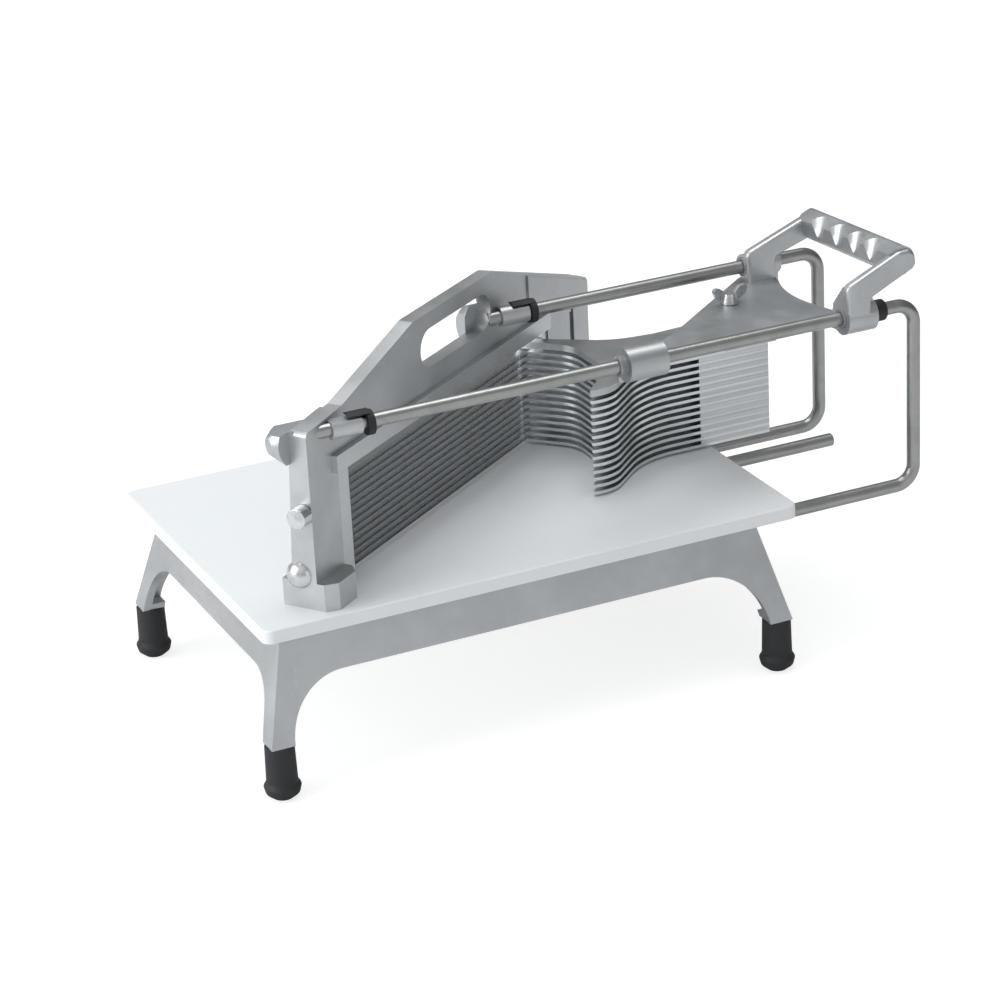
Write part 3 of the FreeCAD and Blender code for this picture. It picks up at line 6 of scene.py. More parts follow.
import bmesh
import bpy
from bpy.props import FloatProperty, FloatVectorProperty, IntProperty, PointerProperty
from mathutils import Matrix, Vector

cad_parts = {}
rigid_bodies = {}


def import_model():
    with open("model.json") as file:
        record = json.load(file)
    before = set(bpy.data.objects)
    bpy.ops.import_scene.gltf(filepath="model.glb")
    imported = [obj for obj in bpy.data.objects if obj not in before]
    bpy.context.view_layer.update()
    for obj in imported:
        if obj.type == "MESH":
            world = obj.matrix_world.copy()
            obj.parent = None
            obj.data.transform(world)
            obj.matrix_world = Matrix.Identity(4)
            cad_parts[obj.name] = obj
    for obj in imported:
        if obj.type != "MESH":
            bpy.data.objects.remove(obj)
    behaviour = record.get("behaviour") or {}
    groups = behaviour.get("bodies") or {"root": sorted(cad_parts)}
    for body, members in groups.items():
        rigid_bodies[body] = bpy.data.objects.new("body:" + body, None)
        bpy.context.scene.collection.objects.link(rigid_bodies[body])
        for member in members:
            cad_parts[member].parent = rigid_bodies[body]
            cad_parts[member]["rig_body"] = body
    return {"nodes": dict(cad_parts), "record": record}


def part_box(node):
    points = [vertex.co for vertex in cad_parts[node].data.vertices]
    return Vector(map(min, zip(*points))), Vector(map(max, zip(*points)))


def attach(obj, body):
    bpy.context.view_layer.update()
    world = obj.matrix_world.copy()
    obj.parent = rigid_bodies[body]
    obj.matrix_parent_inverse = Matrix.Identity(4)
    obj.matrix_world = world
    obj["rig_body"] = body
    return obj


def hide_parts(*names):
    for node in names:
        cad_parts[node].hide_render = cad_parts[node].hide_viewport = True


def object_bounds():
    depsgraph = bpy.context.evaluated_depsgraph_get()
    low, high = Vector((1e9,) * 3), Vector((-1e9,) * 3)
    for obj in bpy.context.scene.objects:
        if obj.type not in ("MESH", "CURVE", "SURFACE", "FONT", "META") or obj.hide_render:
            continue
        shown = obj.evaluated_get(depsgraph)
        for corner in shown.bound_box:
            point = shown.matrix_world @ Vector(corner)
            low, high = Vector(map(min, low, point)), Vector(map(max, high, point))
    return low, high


bl_info = {
    "name": "Tomato slicer",
    "version": (1, 0, 0),
    "blender": (4, 5, 0),
    "location": "View3D > Sidebar > Slicer",
    "description": "Dresses a hand-operated tomato slicer in rounded metal, rubber and plastic",
    "category": "Object",
}

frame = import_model()
CAD_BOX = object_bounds()
SLOT_COLOURS = {
    entry["slot"]: tuple(entry["base_color"][:3]) for entry in frame["record"]["materials"]
}
NODE_SLOTS = {entry["node"]: entry["material_slot"] for entry in frame["record"]["subparts"]}
BLADES = sorted(
    name for name in frame["nodes"] if name.startswith("blade_") and name != "blade_frame"
)
FINS = sorted(name for name in frame["nodes"] if name.startswith("pusher_fin_"))
# Lengths below are in metres and angles in radians
BLADE_ANGLE = math.radians(35.7)
FIN_PITCH = 0.0044
QUARTER_TURN = math.pi / 2

# How near two corners lie to be one, and a corner to a face to be on it
WELD_DISTANCE = 2e-6
ON_FACE = 1e-5
# Faces that meet at less than the first are one, edges over the second are rounded,
# rod ends over the third, and edges over the last are shaded sharp
FLAT_ANGLE = math.radians(0.3)
ROUNDED_ANGLE = math.radians(35)
ROD_END_ANGLE = math.radians(60)
SHARP_ANGLE = math.radians(50)

# The colour sockets of a Mix node
MIX_FACTOR, MIX_FIRST, MIX_SECOND, MIX_RESULT = 0, 6, 7, 2

# The faint blue of the studio's light
COOL = (0.955, 0.985, 1.0)
BLACK = (0, 0, 0, 1)
WHITE = (1, 1, 1, 1)
FLOOR_SIZE = 6
# The share of the floor that glows for the camera, and how strongly
FLOOR_GLOW_SHARE = 0.6
FLOOR_GLOW = 1.3
# Each lamp's name, place, width and power in watts
LAMPS = (
    ("key_lamp", (-1.6, 0.1, 0.75), 1.2, 15),
    ("top_lamp", (0.2, 0.3, 2.1), 1.4, 18),
    ("front_lamp", (0.5, -2.2, 0.5), 1.4, 3.2),
)

# The photograph's viewpoint: place, view axes, and focal length on a sensor in millimetres
CAMERA_PLACE = Vector((-0.74854, -1.63539, 0.85573))
CAMERA_RIGHT = Vector((0.90327, -0.42628, -0.04892))
CAMERA_UP = Vector((0.20838, 0.33615, 0.91847))
CAMERA_AHEAD = Vector((0.37507, 0.83982, -0.39246))
FOCAL_LENGTH = 118.54
SENSOR_WIDTH = 36
CLIP_START, CLIP_END = 0.05, 50


def length(name, default, description):
    """A length that the user can change, in metres."""
    return FloatProperty(
        name=name, description=description, default=default, min=0, unit="LENGTH", precision=4
    )


def colour(name, slot, description):
    """A colour that the user can change, with the record's colour as its default."""
    return FloatVectorProperty(
        name=name, description=description, default=SLOT_COLOURS[slot], min=0, max=1,
        subtype="COLOR",
    )


class SlicerSizes(bpy.types.PropertyGroup):
    cast_edge: length(
        "Cast edge", 0.0009, "Rounding of the edges of the base, and of the pusher below its handle"
    )
    frame_edge: length("Frame edge", 0.0013, "Rounding of the edges of the blade frame")
    handle_edge: length("Handle edge", 0.0008, "Rounding of the edges of the handle")
    machined_edge: length(
        "Machined edge", 0.0004, "Rounding of bars, blocks and bushings; spacers have a third of it"
    )
    fin_edge: length("Fin edge", 0.0005, "Rounding of the edges of the pusher's fins")
    board_edge: length("Board edge", 0.0012, "Rounding of the cutting board's edges")
    rubber_edge: length("Rubber edge", 0.0011, "Rounding of the edges of the rubber rings")
    screw_edge: length(
        "Screw edge", 0.0006, "Rounding of rod ends and of large screws; small ones have half of it"
    )
    grind_width: length(
        "Grind width", 0.003, "Width of the ground bevel along a blade's cutting edge"
    )
    edge_share: FloatProperty(
        name="Edge share",
        description="Thickness left at a blade's cutting edge, as a share of the blade",
        default=0.15, min=0.02, max=1, subtype="FACTOR",
    )
    rod_bend: length("Rod bend", 0.012, "Radius of the guide rods' bends, at the rod's middle")
    round_steps: IntProperty(
        name="Round steps", description="Segments of a rounded edge", default=3, min=1, max=8
    )
    rod_steps: IntProperty(
        name="Rod steps", description="Segments round a guide rod", default=32, min=6, max=128
    )
    bend_steps: IntProperty(
        name="Bend steps", description="Segments of a guide rod's bend", default=15, min=5, max=40
    )


class SlicerColours(bpy.types.PropertyGroup):
    cast: colour("Castings", "cast_aluminium", "Cast aluminium of the frame, base and pusher")
    bar: colour("Bars", "bar_aluminium", "Machined aluminium of the cartridge and spacers")
    fin: colour("Fins", "fin_aluminium", "Rolled aluminium of the pusher's fins")
    blade: colour("Blades", "blade_steel", "Ground steel of the blades")
    rod: colour("Rods", "steel_rod", "Drawn steel of the rods")
    plated: colour("Screws", "plated_screws", "Plated steel of the screws")
    board: colour("Board", "white_board", "White plastic of the cutting board")
    nylon: colour("Bushings", "nylon", "Dark nylon of the bushings")
    rubber: colour("Rubber", "black_rubber", "Black rubber of the feet and rings")
    floor: FloatVectorProperty(
        name="Floor", description="Pale floor", default=(0.9, 0.9, 0.9), min=0, max=1,
        subtype="COLOR",
    )


# Materials


class Value:
    """A shader socket that takes part in sums and products."""

    def __init__(self, tree, socket):
        self.tree = tree
        self.socket = socket

    def maths(self, operation, first, second):
        settings, inputs = {"operation": operation}, {0: first, 1: second}
        return add_node(self.tree, "ShaderNodeMath", settings, inputs)

    def __add__(self, other):
        return self.maths("ADD", self, other)

    __radd__ = __add__

    def __sub__(self, other):
        return self.maths("SUBTRACT", self, other)

    def __rsub__(self, other):
        return self.maths("SUBTRACT", other, self)

    def __mul__(self, other):
        return self.maths("MULTIPLY", self, other)

    __rmul__ = __mul__


def plug(tree, socket, value):
    """Set a socket to a plain value, or link it to another."""
    if isinstance(value, Value):
        tree.links.new(value.socket, socket)
    else:
        socket.default_value = value


def add_node(tree, kind, settings=None, inputs=None, output=0):
    """Add a node: its settings first, then the values or links of its sockets."""
    made = tree.nodes.new(kind)
    for name, value in (settings or {}).items():
        setattr(made, name, value)
    for name, value in (inputs or {}).items():
        plug(tree, made.inputs[name], value)
    return Value(tree, made.outputs[output])


class Nodes:
    """Short ways to add nodes to a tree."""

    def __init__(self, tree):
        self.tree = tree

    def node(self, kind, settings=None, inputs=None, output=0):
        return add_node(self.tree, kind, settings, inputs, output)

    def place(self, scale=(1, 1, 1), turn=0, tilt=0):
        """Object coordinates, turned about the upright and the long axis, and stretched."""
        where = self.node("ShaderNodeTexCoord", output="Object")
        spun = self.node("ShaderNodeMapping", inputs={"Vector": where, "Rotation": (tilt, 0, turn)})
        return self.node("ShaderNodeMapping", inputs={"Vector": spun, "Scale": scale})

    def noise(self, where, scale, detail, roughness=0.55):
        return self.node(
            "ShaderNodeTexNoise",
            inputs={"Vector": where, "Scale": scale, "Detail": detail, "Roughness": roughness},
        )

    def spread(self, value, low, high, first=0.0, last=1.0):
        """Stretch the part of a value between low and high to run from first to last."""
        return self.node(
            "ShaderNodeMapRange", {"clamp": True, "interpolation_type": "SMOOTHSTEP"},
            {"Value": value, "From Min": low, "From Max": high, "To Min": first, "To Max": last},
        )

    def mix(self, mask, first, second):
        """Go from one colour to another by a mask."""
        return self.node(
            "ShaderNodeMix", {"data_type": "RGBA"},
            {MIX_FACTOR: mask, MIX_FIRST: first, MIX_SECOND: second}, MIX_RESULT,
        )

    def bump(self, height, depth, strength, under=None):
        """Small relief, on top of another where one is given."""
        inputs = {"Height": height, "Distance": depth, "Strength": strength}
        if under is not None:
            inputs["Normal"] = under
        return self.node("ShaderNodeBump", inputs=inputs)


class Finish(Nodes):
    """A node material: a Principled shader and short ways to feed it."""

    def __init__(self, name):
        self.material = bpy.data.materials.new(name)
        self.material.use_nodes = True
        super().__init__(self.material.node_tree)
        self.shader = self.tree.nodes["Principled BSDF"]

    def set(self, **values):
        """Set or link the shader's own sockets."""
        for name, value in values.items():
            plug(self.tree, self.shader.inputs[name.replace("_", " ").title()], value)
        return self.material


def shade(tint, amount):
    """A colour made darker or lighter, with full opacity."""
    return (*(min(1.0, part * amount) for part in tint), 1)


def cast_finish(tint):
    """Satin cast aluminium: faint clouds, a fine sand grain and polishing lines."""
    made = Finish("cast_aluminium")
    where = made.place()
    clouds = made.noise(where, scale=26, detail=4)
    grain = made.noise(where, scale=1500, detail=2, roughness=0.7)
    lines = made.noise(made.place((60, 60, 900)), scale=1, detail=3, roughness=0.6)
    rubbed = made.noise(made.place((240, 240, 30), tilt=0.5), scale=1, detail=4, roughness=0.7)
    cover = made.spread(clouds, low=0.32, high=0.68)
    scuffs = made.spread(rubbed, low=0.62, high=0.74)
    body = made.mix(cover, shade(tint, 0.8), shade(tint, 0.94))
    body = made.mix(scuffs * 0.3, body, shade(tint, 1.15))
    soft = made.bump(grain, depth=0.00012, strength=0.35)
    return made.set(
        base_color=body, metallic=1.0,
        roughness=0.36 + cover * 0.08 + (lines - 0.5) * 0.16 + (grain - 0.5) * 0.1,
        normal=made.bump(lines, depth=0.00006, strength=0.3, under=soft),
    )


def machined_finish(name, tint, roughness, turn, brightness, relief=0.3):
    """Machined or rolled metal with long fine lines."""
    made = Finish(name)
    lines = made.noise(made.place((14, 1400, 1400), turn), scale=1, detail=4, roughness=0.65)
    clouds = made.noise(made.place(), scale=34, detail=3)
    stripes = made.spread(lines, low=0.3, high=0.7)
    cover = made.spread(clouds, low=0.35, high=0.7)
    body = made.mix(stripes, shade(tint, brightness * 0.93), shade(tint, brightness * 1.07))
    body = made.mix(cover * 0.3, body, shade(tint, brightness * 0.9))
    return made.set(
        base_color=body, metallic=1.0,
        roughness=roughness + (lines - 0.5) * 0.14 + (clouds - 0.5) * 0.1,
        normal=made.bump(lines, depth=0.00003, strength=relief),
    )


def layered_finish(tint):
    """Face of the spacer stack: each layer is a little lighter or darker than the next."""
    made = Finish("spacer_aluminium")
    lines = made.noise(made.place((30, 30, 1600)), scale=1, detail=4, roughness=0.7)
    layers = made.noise(made.place((3, 3, 2 / FIN_PITCH)), scale=1, detail=1, roughness=0.4)
    smears = made.noise(made.place((40, 40, 160)), scale=1, detail=3, roughness=0.6)
    steps = made.spread(layers, low=0.36, high=0.64)
    body = made.mix(steps, shade(tint, 0.98), shade(tint, 1.12))
    body = made.mix(made.spread(smears, low=0.5, high=0.75) * 0.5, body, shade(tint, 1.25))
    return made.set(
        base_color=body, metallic=1.0, roughness=0.42 + (smears - 0.5) * 0.25,
        normal=made.bump(lines, depth=0.00004, strength=0.25),
    )


def drawn_finish(tint):
    """Drawn steel rod: smooth, with faint handling marks."""
    made = Finish("steel_rod")
    marks = made.noise(made.place(), scale=90, detail=4, roughness=0.6)
    fine = made.noise(made.place(), scale=2600, detail=2)
    handled = made.spread(marks, low=0.35, high=0.7)
    return made.set(
        base_color=made.mix(handled, shade(tint, 0.82), shade(tint, 0.72)),
        metallic=1.0, roughness=0.3 + (marks - 0.5) * 0.08,
        normal=made.bump(fine, depth=0.00002, strength=0.15),
    )


def plated_finish(tint):
    """Bright plated steel with small stains."""
    made = Finish("plated_steel")
    stains = made.noise(made.place(), scale=160, detail=4, roughness=0.6)
    fine = made.noise(made.place(), scale=2600, detail=2)
    stained = made.spread(stains, low=0.45, high=0.7)
    return made.set(
        base_color=made.mix(stained, shade(tint, 1.05), shade(tint, 0.8)),
        metallic=1.0, roughness=0.22 + (stains - 0.4) * 0.25,
        normal=made.bump(fine, depth=0.00003, strength=0.3),
    )


def board_finish(tint):
    """White polyethylene with a fine matt grain and faint rubbed patches."""
    made = Finish("white_polyethylene")
    where = made.place()
    grain = made.noise(where, scale=1900, detail=3, roughness=0.6)
    rubbed = made.spread(made.noise(where, scale=9, detail=4), low=0.4, high=0.7)
    lines = made.noise(made.place((18, 900, 18), turn=0.6), scale=1, detail=2, roughness=0.5)
    scratches = made.spread(lines, low=0.66, high=0.74)
    soft = made.bump(grain, depth=0.0001, strength=0.25)
    return made.set(
        base_color=made.mix(rubbed * 0.5, shade(tint, 0.95), shade(tint, 0.91)),
        roughness=0.42 + (grain - 0.5) * 0.1 + rubbed * 0.08 + scratches * 0.1,
        normal=made.bump(scratches, depth=0.00004, strength=0.3, under=soft),
        subsurface_weight=0.05, subsurface_scale=0.004,
    )


def rubber_finish(tint):
    """Moulded black rubber with a dusty bloom."""
    made = Finish("black_rubber")
    where = made.place()
    dust = made.noise(where, scale=150, detail=5, roughness=0.65)
    bloom = made.spread(dust, low=0.42, high=0.75)
    grain = made.noise(where, scale=2400, detail=2, roughness=0.7)
    return made.set(
        base_color=made.mix(bloom * 0.4, shade(tint, 0.5), shade(tint, 1.2)),
        roughness=0.6 + bloom * 0.2 + (grain - 0.5) * 0.15,
        normal=made.bump(grain, depth=0.0001, strength=0.4),
    )


def nylon_finish(tint):
    """Dark nylon with lathe lines and worn patches."""
    made = Finish("dark_nylon")
    wear = made.spread(made.noise(made.place(), scale=220, detail=4), low=0.45, high=0.7)
    lathe_lines = made.noise(made.place((1800, 60, 60)), scale=1, detail=2)
    return made.set(
        base_color=made.mix(wear, shade(tint, 0.8), shade(tint, 1.25)),
        roughness=0.45 + wear * 0.1,
        normal=made.bump(lathe_lines, depth=0.00005, strength=0.4),
    )


FINISHES = {}


def finish_of(slot):
    """The Blender material of a material slot, or of the spacer stack."""
    if not FINISHES:
        tints = bpy.context.scene.slicer_colours
        FINISHES.update(
            cast_aluminium=cast_finish(tints.cast),
            bar_aluminium=machined_finish(
                "bar_aluminium", tints.bar, roughness=0.36, turn=-BLADE_ANGLE, brightness=1.1
            ),
            spacer_stack=layered_finish(tints.bar),
            fin_aluminium=machined_finish(
                "fin_aluminium", tints.fin, roughness=0.32, turn=0, brightness=1.25
            ),
            blade_steel=machined_finish(
                "blade_steel", tints.blade, roughness=0.24, turn=-BLADE_ANGLE, brightness=0.78,
                relief=0.12,
            ),
            steel_rod=drawn_finish(tints.rod),
            plated_screws=plated_finish(tints.plated),
            white_board=board_finish(tints.board),
            nylon=nylon_finish(tints.nylon),
            black_rubber=rubber_finish(tints.rubber),
        )
    return FINISHES[slot]


# Meshes


def welded(node):
    """A copy of a CAD node's mesh, its loose triangles joined and its flat faces whole."""
    shape = bmesh.new()
    shape.from_mesh(frame["nodes"][node].data)
    bmesh.ops.remove_doubles(shape, verts=shape.verts, dist=WELD_DISTANCE)
    bmesh.ops.dissolve_limit(
        shape, angle_limit=FLAT_ANGLE, verts=shape.verts, edges=shape.edges, delimit={"NORMAL"}
    )
    return shape


def sharp_edges(shape, angle=ROUNDED_ANGLE):
    """Edges where two faces meet at more than an angle."""
    joined = (edge for edge in shape.edges if len(edge.link_faces) == 2)
    return [edge for edge in joined if edge.calc_face_angle(0) > angle]


def round_edges(shape, edges, radius):
    """Round edges with the shared number of steps."""
    if edges and radius > 0:
        bmesh.ops.bevel(
            shape, geom=edges, offset=radius, offset_type="OFFSET", affect="EDGES",
            segments=bpy.context.scene.slicer_sizes.round_steps, profile=0.5, material=-1,
            clamp_overlap=True, loop_slide=True,
        )


def add_piece(shape, name, node, finish=None):
    """Turn a bmesh into a piece that stands for a CAD node and rides on its body."""
    bmesh.ops.recalc_face_normals(shape, faces=shape.faces)
    mesh = bpy.data.meshes.new(name)
    shape.to_mesh(mesh)
    shape.free()
    mesh.shade_smooth()
    mesh.set_sharp_from_angle(angle=SHARP_ANGLE)
    piece = bpy.data.objects.new(name, mesh)
    bpy.context.scene.collection.objects.link(piece)
    slot = NODE_SLOTS[node]
    mesh.materials.append(finish_of(finish or slot))
    even = piece.modifiers.new("even shading", "WEIGHTED_NORMAL")
    even.keep_sharp = True
    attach(piece, frame["nodes"][node]["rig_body"])
    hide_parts(node)


def rounded_copy(node, radius, name=None, finish=None):
    """Add a piece with a CAD node's shape and rounded edges."""
    shape = welded(node)
    round_edges(shape, sharp_edges(shape), radius)
    add_piece(shape, name or f"{node}_dressed", node, finish)


# Operators


class SLICER_OT_board(bpy.types.Operator):
    """Cutting board with softly rounded edges"""

    bl_idname = "slicer.board"
    bl_label = "Cutting board"

    def execute(self, context):
        rounded_copy("cutting_board", context.scene.slicer_sizes.board_edge)
        return {"FINISHED"}


class SLICER_OT_base(bpy.types.Operator):
    """Base casting with rounded edges"""

    bl_idname = "slicer.base"
    bl_label = "Base"

    def execute(self, context):
        rounded_copy("base_casting", context.scene.slicer_sizes.cast_edge)
        return {"FINISHED"}


class SLICER_OT_feet(bpy.types.Operator):
    """Rubber feet, one under each leg"""

    bl_idname = "slicer.feet"
    bl_label = "Rubber feet"

    def execute(self, context):
        for side in ("near_left", "near_right", "far_left", "far_right"):
            rounded_copy(f"rubber_foot_{side}", 0)
        return {"FINISHED"}


class SLICER_OT_rods(bpy.types.Operator):
    """Guide rods with smooth bends, the stop rod, and the rods' set screws"""

    bl_idname = "slicer.rods"
    bl_label = "Rods"

    def execute(self, context):
        for side in ("near", "far"):
            self.guide_rod(context, f"guide_rod_{side}")
        rounded_copy("table_stop_rod", context.scene.slicer_sizes.screw_edge)
        rounded_copy("rod_set_screws", 0)
        return {"FINISHED"}

    def guide_rod(self, context, node):
        """A circle drawn out along the top run, turned down, and led back under the board."""
        sizes = context.scene.slicer_sizes
        low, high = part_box(node)
        radius, bend = (high.y - low.y) / 2, sizes.rod_bend
        middle_y, middle_z = (low.y + high.y) / 2, (low.z + high.z) / 2
        points = [vertex.co for vertex in frame["nodes"][node].data.vertices]
        tail = min(point.x for point in points if point.z < middle_z)
        top, under = high.z - radius, low.z + radius
        turn_x = high.x - radius - bend
        shape = bmesh.new()
        start = Matrix.Translation((low.x, middle_y, top)) @ Matrix.Rotation(QUARTER_TURN, 4, "Y")
        ring = bmesh.ops.create_circle(
            shape, cap_ends=False, segments=sizes.rod_steps, radius=radius, matrix=start
        )["verts"]
        bmesh.ops.contextual_create(shape, geom=edges_between(ring))
        ring = drawn(shape, ring, (turn_x - low.x, 0, 0))
        ring = turned(shape, ring, (turn_x, middle_y, top - bend), sizes.bend_steps)
        ring = drawn(shape, ring, (0, 0, under + bend - (top - bend)))
        ring = turned(shape, ring, (turn_x, middle_y, under + bend), sizes.bend_steps)
        ring = drawn(shape, ring, (tail - turn_x, 0, 0))
        bmesh.ops.contextual_create(shape, geom=edges_between(ring))
        round_edges(shape, sharp_edges(shape, ROD_END_ANGLE), sizes.screw_edge)
        add_piece(shape, f"{node}_dressed", node)


def edges_between(verts):
    """Edges whose two ends are both in a ring."""
    ring = set(verts)
    return list({edge for vert in verts for edge in vert.link_edges if set(edge.verts) <= ring})


def drawn(shape, ring, step):
    """Draw a ring of vertices out in a straight run and give the new ring."""
    made = bmesh.ops.extrude_edge_only(shape, edges=edges_between(ring))["geom"]
    verts = [item for item in made if isinstance(item, bmesh.types.BMVert)]
    bmesh.ops.translate(shape, verts=verts, vec=step)
    return verts


def turned(shape, ring, centre, steps):
    """Turn a ring a quarter round an axis along y and give the new ring."""
    made = bmesh.ops.spin(
        shape, geom=edges_between(ring), cent=centre, axis=(0, 1, 0), angle=QUARTER_TURN,
        steps=steps, use_duplicate=False, use_merge=False,
    )["geom_last"]
    return [item for item in made if isinstance(item, bmesh.types.BMVert)]


class SLICER_OT_bumpers(bpy.types.Operator):
    """Rubber rings on the guide rods"""

    bl_idname = "slicer.bumpers"
    bl_label = "Rubber rings"

    def execute(self, context):
        for node in ("front_bumper_near", "front_bumper_far", "rear_bumper"):
            rounded_copy(node, context.scene.slicer_sizes.rubber_edge)
        return {"FINISHED"}


class SLICER_OT_frame(bpy.types.Operator):
    """Blade frame casting with rounded edges"""

    bl_idname = "slicer.frame"
    bl_label = "Blade frame"

    def execute(self, context):
        edge = context.scene.slicer_sizes.frame_edge
        rounded_copy("blade_frame", edge, name="blade_frame_casting")
        return {"FINISHED"}


class SLICER_OT_cartridge(bpy.types.Operator):
    """Top bar and end blocks that hold the blades"""

    bl_idname = "slicer.cartridge"
    bl_label = "Blade cartridge"

    def execute(self, context):
        for node in ("cartridge_top_bar", "cartridge_near_block", "cartridge_far_block"):
            rounded_copy(node, context.scene.slicer_sizes.machined_edge)
        return {"FINISHED"}


class SLICER_OT_blades(bpy.types.Operator):
    """Blades with a ground cutting edge towards the pusher"""

    bl_idname = "slicer.blades"
    bl_label = "Blades"

    def execute(self, context):
        sizes = context.scene.slicer_sizes
        for node in BLADES:
            shape = welded(node)
            near_faces = [face for face in shape.faces if face.normal.y < -0.5]
            front = max(near_faces, key=lambda face: face.calc_area())
            out = front.normal.copy()
            middle = front.calc_center_median()
            start = middle - out * sizes.grind_width
            geometry = list(shape.verts) + list(shape.edges) + list(shape.faces)
            bmesh.ops.bisect_plane(shape, geom=geometry, plane_co=start, plane_no=out)
            ground = [vert for vert in shape.verts if abs((vert.co - middle).dot(out)) < ON_FACE]
            bmesh.ops.scale(
                shape, verts=ground, vec=(1, 1, sizes.edge_share), space=Matrix.Translation(-middle)
            )
            add_piece(shape, f"{node}_ground", node)
        return {"FINISHED"}


class SLICER_OT_fins(bpy.types.Operator):
    """Pusher fins with rounded edges"""

    bl_idname = "slicer.fins"
    bl_label = "Pusher fins"

    def execute(self, context):
        for node in FINS:
            rounded_copy(node, context.scene.slicer_sizes.fin_edge)
        return {"FINISHED"}


class SLICER_OT_spacers(bpy.types.Operator):
    """Spacers between the fins, and the bolts through them"""

    bl_idname = "slicer.spacers"
    bl_label = "Spacers"

    def execute(self, context):
        edge = context.scene.slicer_sizes.machined_edge / 3
        rounded_copy("fin_spacers", edge, finish="spacer_stack")
        rounded_copy("fin_stack_bolts", 0)
        return {"FINISHED"}


class SLICER_OT_pusher(bpy.types.Operator):
    """Pusher casting, with the handle's edges rounded apart from those below it"""

    bl_idname = "slicer.pusher"
    bl_label = "Pusher casting"

    def execute(self, context):
        sizes = context.scene.slicer_sizes
        shape = welded("pusher_casting")
        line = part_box("guide_rod_near")[1].z
        handle = [edge for edge in sharp_edges(shape) if self.above(edge, line)]
        round_edges(shape, handle, sizes.handle_edge)
        below = [edge for edge in sharp_edges(shape) if not self.above(edge, line)]
        round_edges(shape, below, sizes.cast_edge)
        add_piece(shape, "pusher_casting_dressed", "pusher_casting")
        return {"FINISHED"}

    def above(self, edge, line):
        return all(vert.co.z > line for vert in edge.verts)


class SLICER_OT_bushings(bpy.types.Operator):
    """Bushings in the pusher's bosses"""

    bl_idname = "slicer.bushings"
    bl_label = "Bushings"

    def execute(self, context):
        for place in ("near_front", "near_rear", "far_rear"):
            rounded_copy(f"slide_bushing_{place}", context.scene.slicer_sizes.machined_edge)
        return {"FINISHED"}


class SLICER_OT_screws(bpy.types.Operator):
    """Thumb screw, wing screw, foot screw, and the fasteners of frame, board and cartridge"""

    bl_idname = "slicer.screws"
    bl_label = "Screws"

    def execute(self, context):
        edge = context.scene.slicer_sizes.screw_edge
        for node in ("cartridge_thumb_screw", "wing_screw"):
            rounded_copy(node, edge)
        for node in ("post_foot_screw", "frame_bolts", "board_screws", "cartridge_screws"):
            rounded_copy(node, edge / 2)
        return {"FINISHED"}


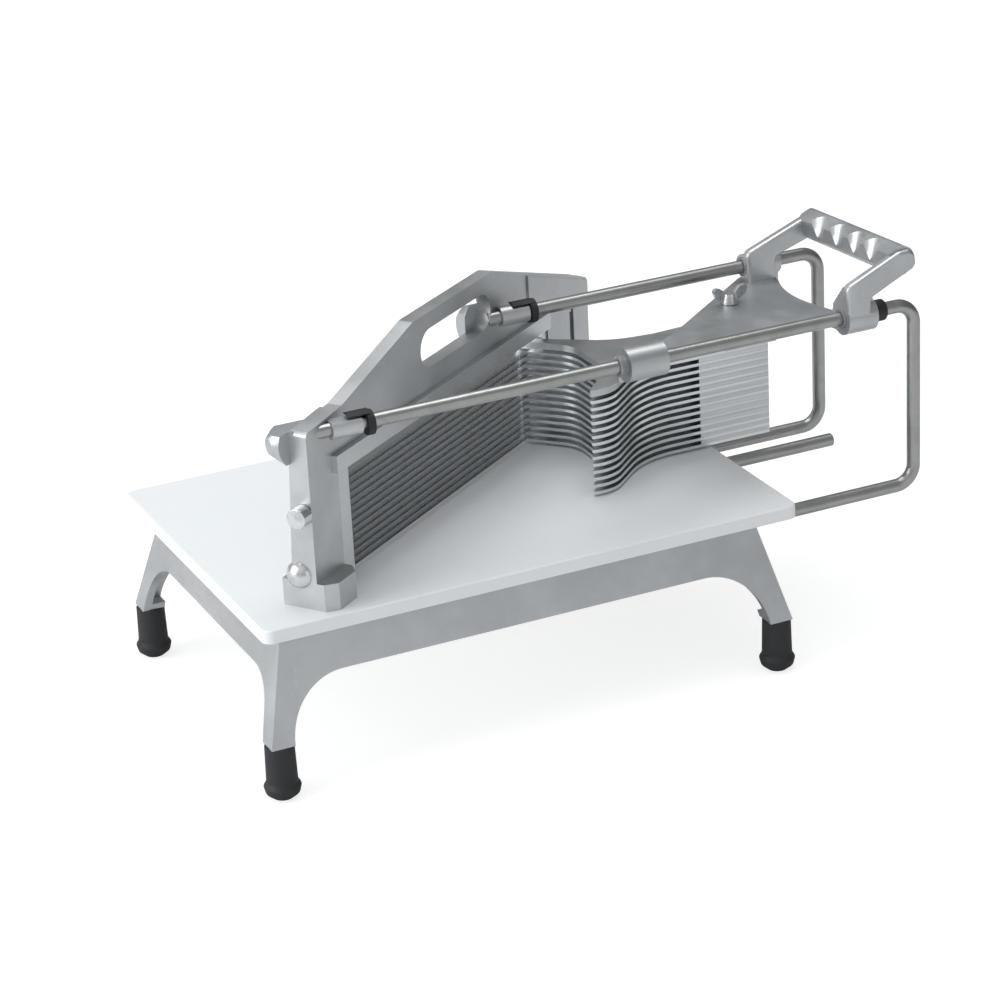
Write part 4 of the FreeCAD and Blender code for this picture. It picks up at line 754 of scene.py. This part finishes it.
class SLICER_OT_stage(bpy.types.Operator):
    """Pale floor, soft lamps, and the camera at the photograph's angle"""

    bl_idname = "slicer.stage"
    bl_label = "Stage"

    def execute(self, context):
        self.floor(context)
        self.lamps(context)
        self.world(context)
        self.camera(context)
        return {"FINISHED"}

    def floor(self, context):
        shape = bmesh.new()
        bmesh.ops.create_grid(shape, x_segments=2, y_segments=2, size=FLOOR_SIZE)
        mesh = bpy.data.meshes.new("floor")
        shape.to_mesh(mesh)
        shape.free()
        floor = bpy.data.objects.new("floor", mesh)
        context.scene.collection.objects.link(floor)
        mesh.materials.append(self.floor_finish(context.scene.slicer_colours.floor))

    def floor_finish(self, tint):
        """Faintly speckled, a little darker in reflections and lighter to the camera."""
        made = Finish("pale_floor")
        speckle = made.noise(made.place(), scale=40, detail=2)
        mirrored = made.node("ShaderNodeLightPath", output="Is Glossy Ray")
        seen = made.node("ShaderNodeLightPath", output="Is Camera Ray")
        pale = made.mix(speckle * 0.05, shade(tint, 1), shade(tint, 0.97))
        made.set(base_color=made.mix(mirrored, pale, shade(tint, 0.9)), roughness=0.8)
        glow = made.node("ShaderNodeEmission", inputs={"Color": WHITE, "Strength": FLOOR_GLOW})
        lit = Value(made.tree, made.shader.outputs[0])
        share = seen * FLOOR_GLOW_SHARE
        blend = made.node("ShaderNodeMixShader", inputs={0: share, 1: lit, 2: glow})
        plug(made.tree, made.tree.nodes["Material Output"].inputs["Surface"], blend)
        return made.material

    def lamps(self, context):
        """Square lamps turned to the middle of the object."""
        middle = (CAD_BOX[0] + CAD_BOX[1]) / 2
        for name, place, width, power in LAMPS:
            lamp = bpy.data.lights.new(name, "AREA")
            lamp.shape = "SQUARE"
            lamp.size = width
            lamp.energy = power
            lamp.color = COOL
            holder = bpy.data.objects.new(name, lamp)
            holder.location = place
            holder.rotation_euler = (middle - Vector(place)).to_track_quat("-Z", "Y").to_euler()
            context.scene.collection.objects.link(holder)

    def world(self, context):
        """White to the camera, and brighter to the left and above for everything else."""
        world = bpy.data.worlds.new("studio")
        world.use_nodes = True
        context.scene.world = world
        made = Nodes(world.node_tree)
        where = made.node("ShaderNodeTexCoord", output="Generated")
        along = made.node("ShaderNodeSeparateXYZ", inputs={"Vector": where}, output="X")
        upward = made.node("ShaderNodeSeparateXYZ", inputs={"Vector": where}, output="Z")
        seen = made.node("ShaderNodeLightPath", output="Is Camera Ray")
        side = made.spread(along, low=-1, high=1, first=0.95, last=0.3)
        height = made.spread(upward, low=0, high=1, first=0.6, last=1.0)
        tone = made.mix(side * height, BLACK, (*COOL, 1))
        back = made.tree.nodes["Background"]
        plug(made.tree, back.inputs["Color"], made.mix(seen, tone, WHITE))
        plug(made.tree, back.inputs["Strength"], 1.0)

    def camera(self, context):
        """The camera at the photograph's viewpoint."""
        data = bpy.data.cameras.new("camera")
        data.sensor_width = SENSOR_WIDTH
        data.lens = FOCAL_LENGTH
        data.clip_start, data.clip_end = CLIP_START, CLIP_END
        camera = bpy.data.objects.new("camera", data)
        turn = Matrix((CAMERA_RIGHT, CAMERA_UP, -CAMERA_AHEAD)).transposed().to_4x4()
        camera.matrix_world = Matrix.Translation(CAMERA_PLACE) @ turn
        context.scene.collection.objects.link(camera)
        context.scene.camera = camera


class SLICER_PT_panel(bpy.types.Panel):
    """Sizes, colours and operators of the slicer"""

    bl_idname = "SLICER_PT_panel"
    bl_label = "Tomato slicer"
    bl_space_type = "VIEW_3D"
    bl_region_type = "UI"
    bl_category = "Slicer"

    def draw(self, context):
        for group in (context.scene.slicer_sizes, context.scene.slicer_colours):
            box = self.layout.box()
            for name in group.__annotations__:
                box.prop(group, name)
        for operator in OPERATORS:
            self.layout.operator(operator.bl_idname)


OPERATORS = (
    SLICER_OT_board,
    SLICER_OT_base,
    SLICER_OT_feet,
    SLICER_OT_rods,
    SLICER_OT_bumpers,
    SLICER_OT_frame,
    SLICER_OT_cartridge,
    SLICER_OT_blades,
    SLICER_OT_fins,
    SLICER_OT_spacers,
    SLICER_OT_pusher,
    SLICER_OT_bushings,
    SLICER_OT_screws,
    SLICER_OT_stage,
)
CLASSES = (SlicerSizes, SlicerColours, *OPERATORS, SLICER_PT_panel)


def register():
    for item in CLASSES:
        bpy.utils.register_class(item)
    bpy.types.Scene.slicer_sizes = PointerProperty(type=SlicerSizes)
    bpy.types.Scene.slicer_colours = PointerProperty(type=SlicerColours)


def unregister():
    del bpy.types.Scene.slicer_sizes
    del bpy.types.Scene.slicer_colours
    for item in reversed(CLASSES):
        bpy.utils.unregister_class(item)


def main():
    register()
    bpy.context.scene.view_settings.view_transform = "Standard"
    for operator in OPERATORS:
        family, name = operator.bl_idname.split(".")
        getattr(getattr(bpy.ops, family), name)()


if __name__ == "__main__":
    main()
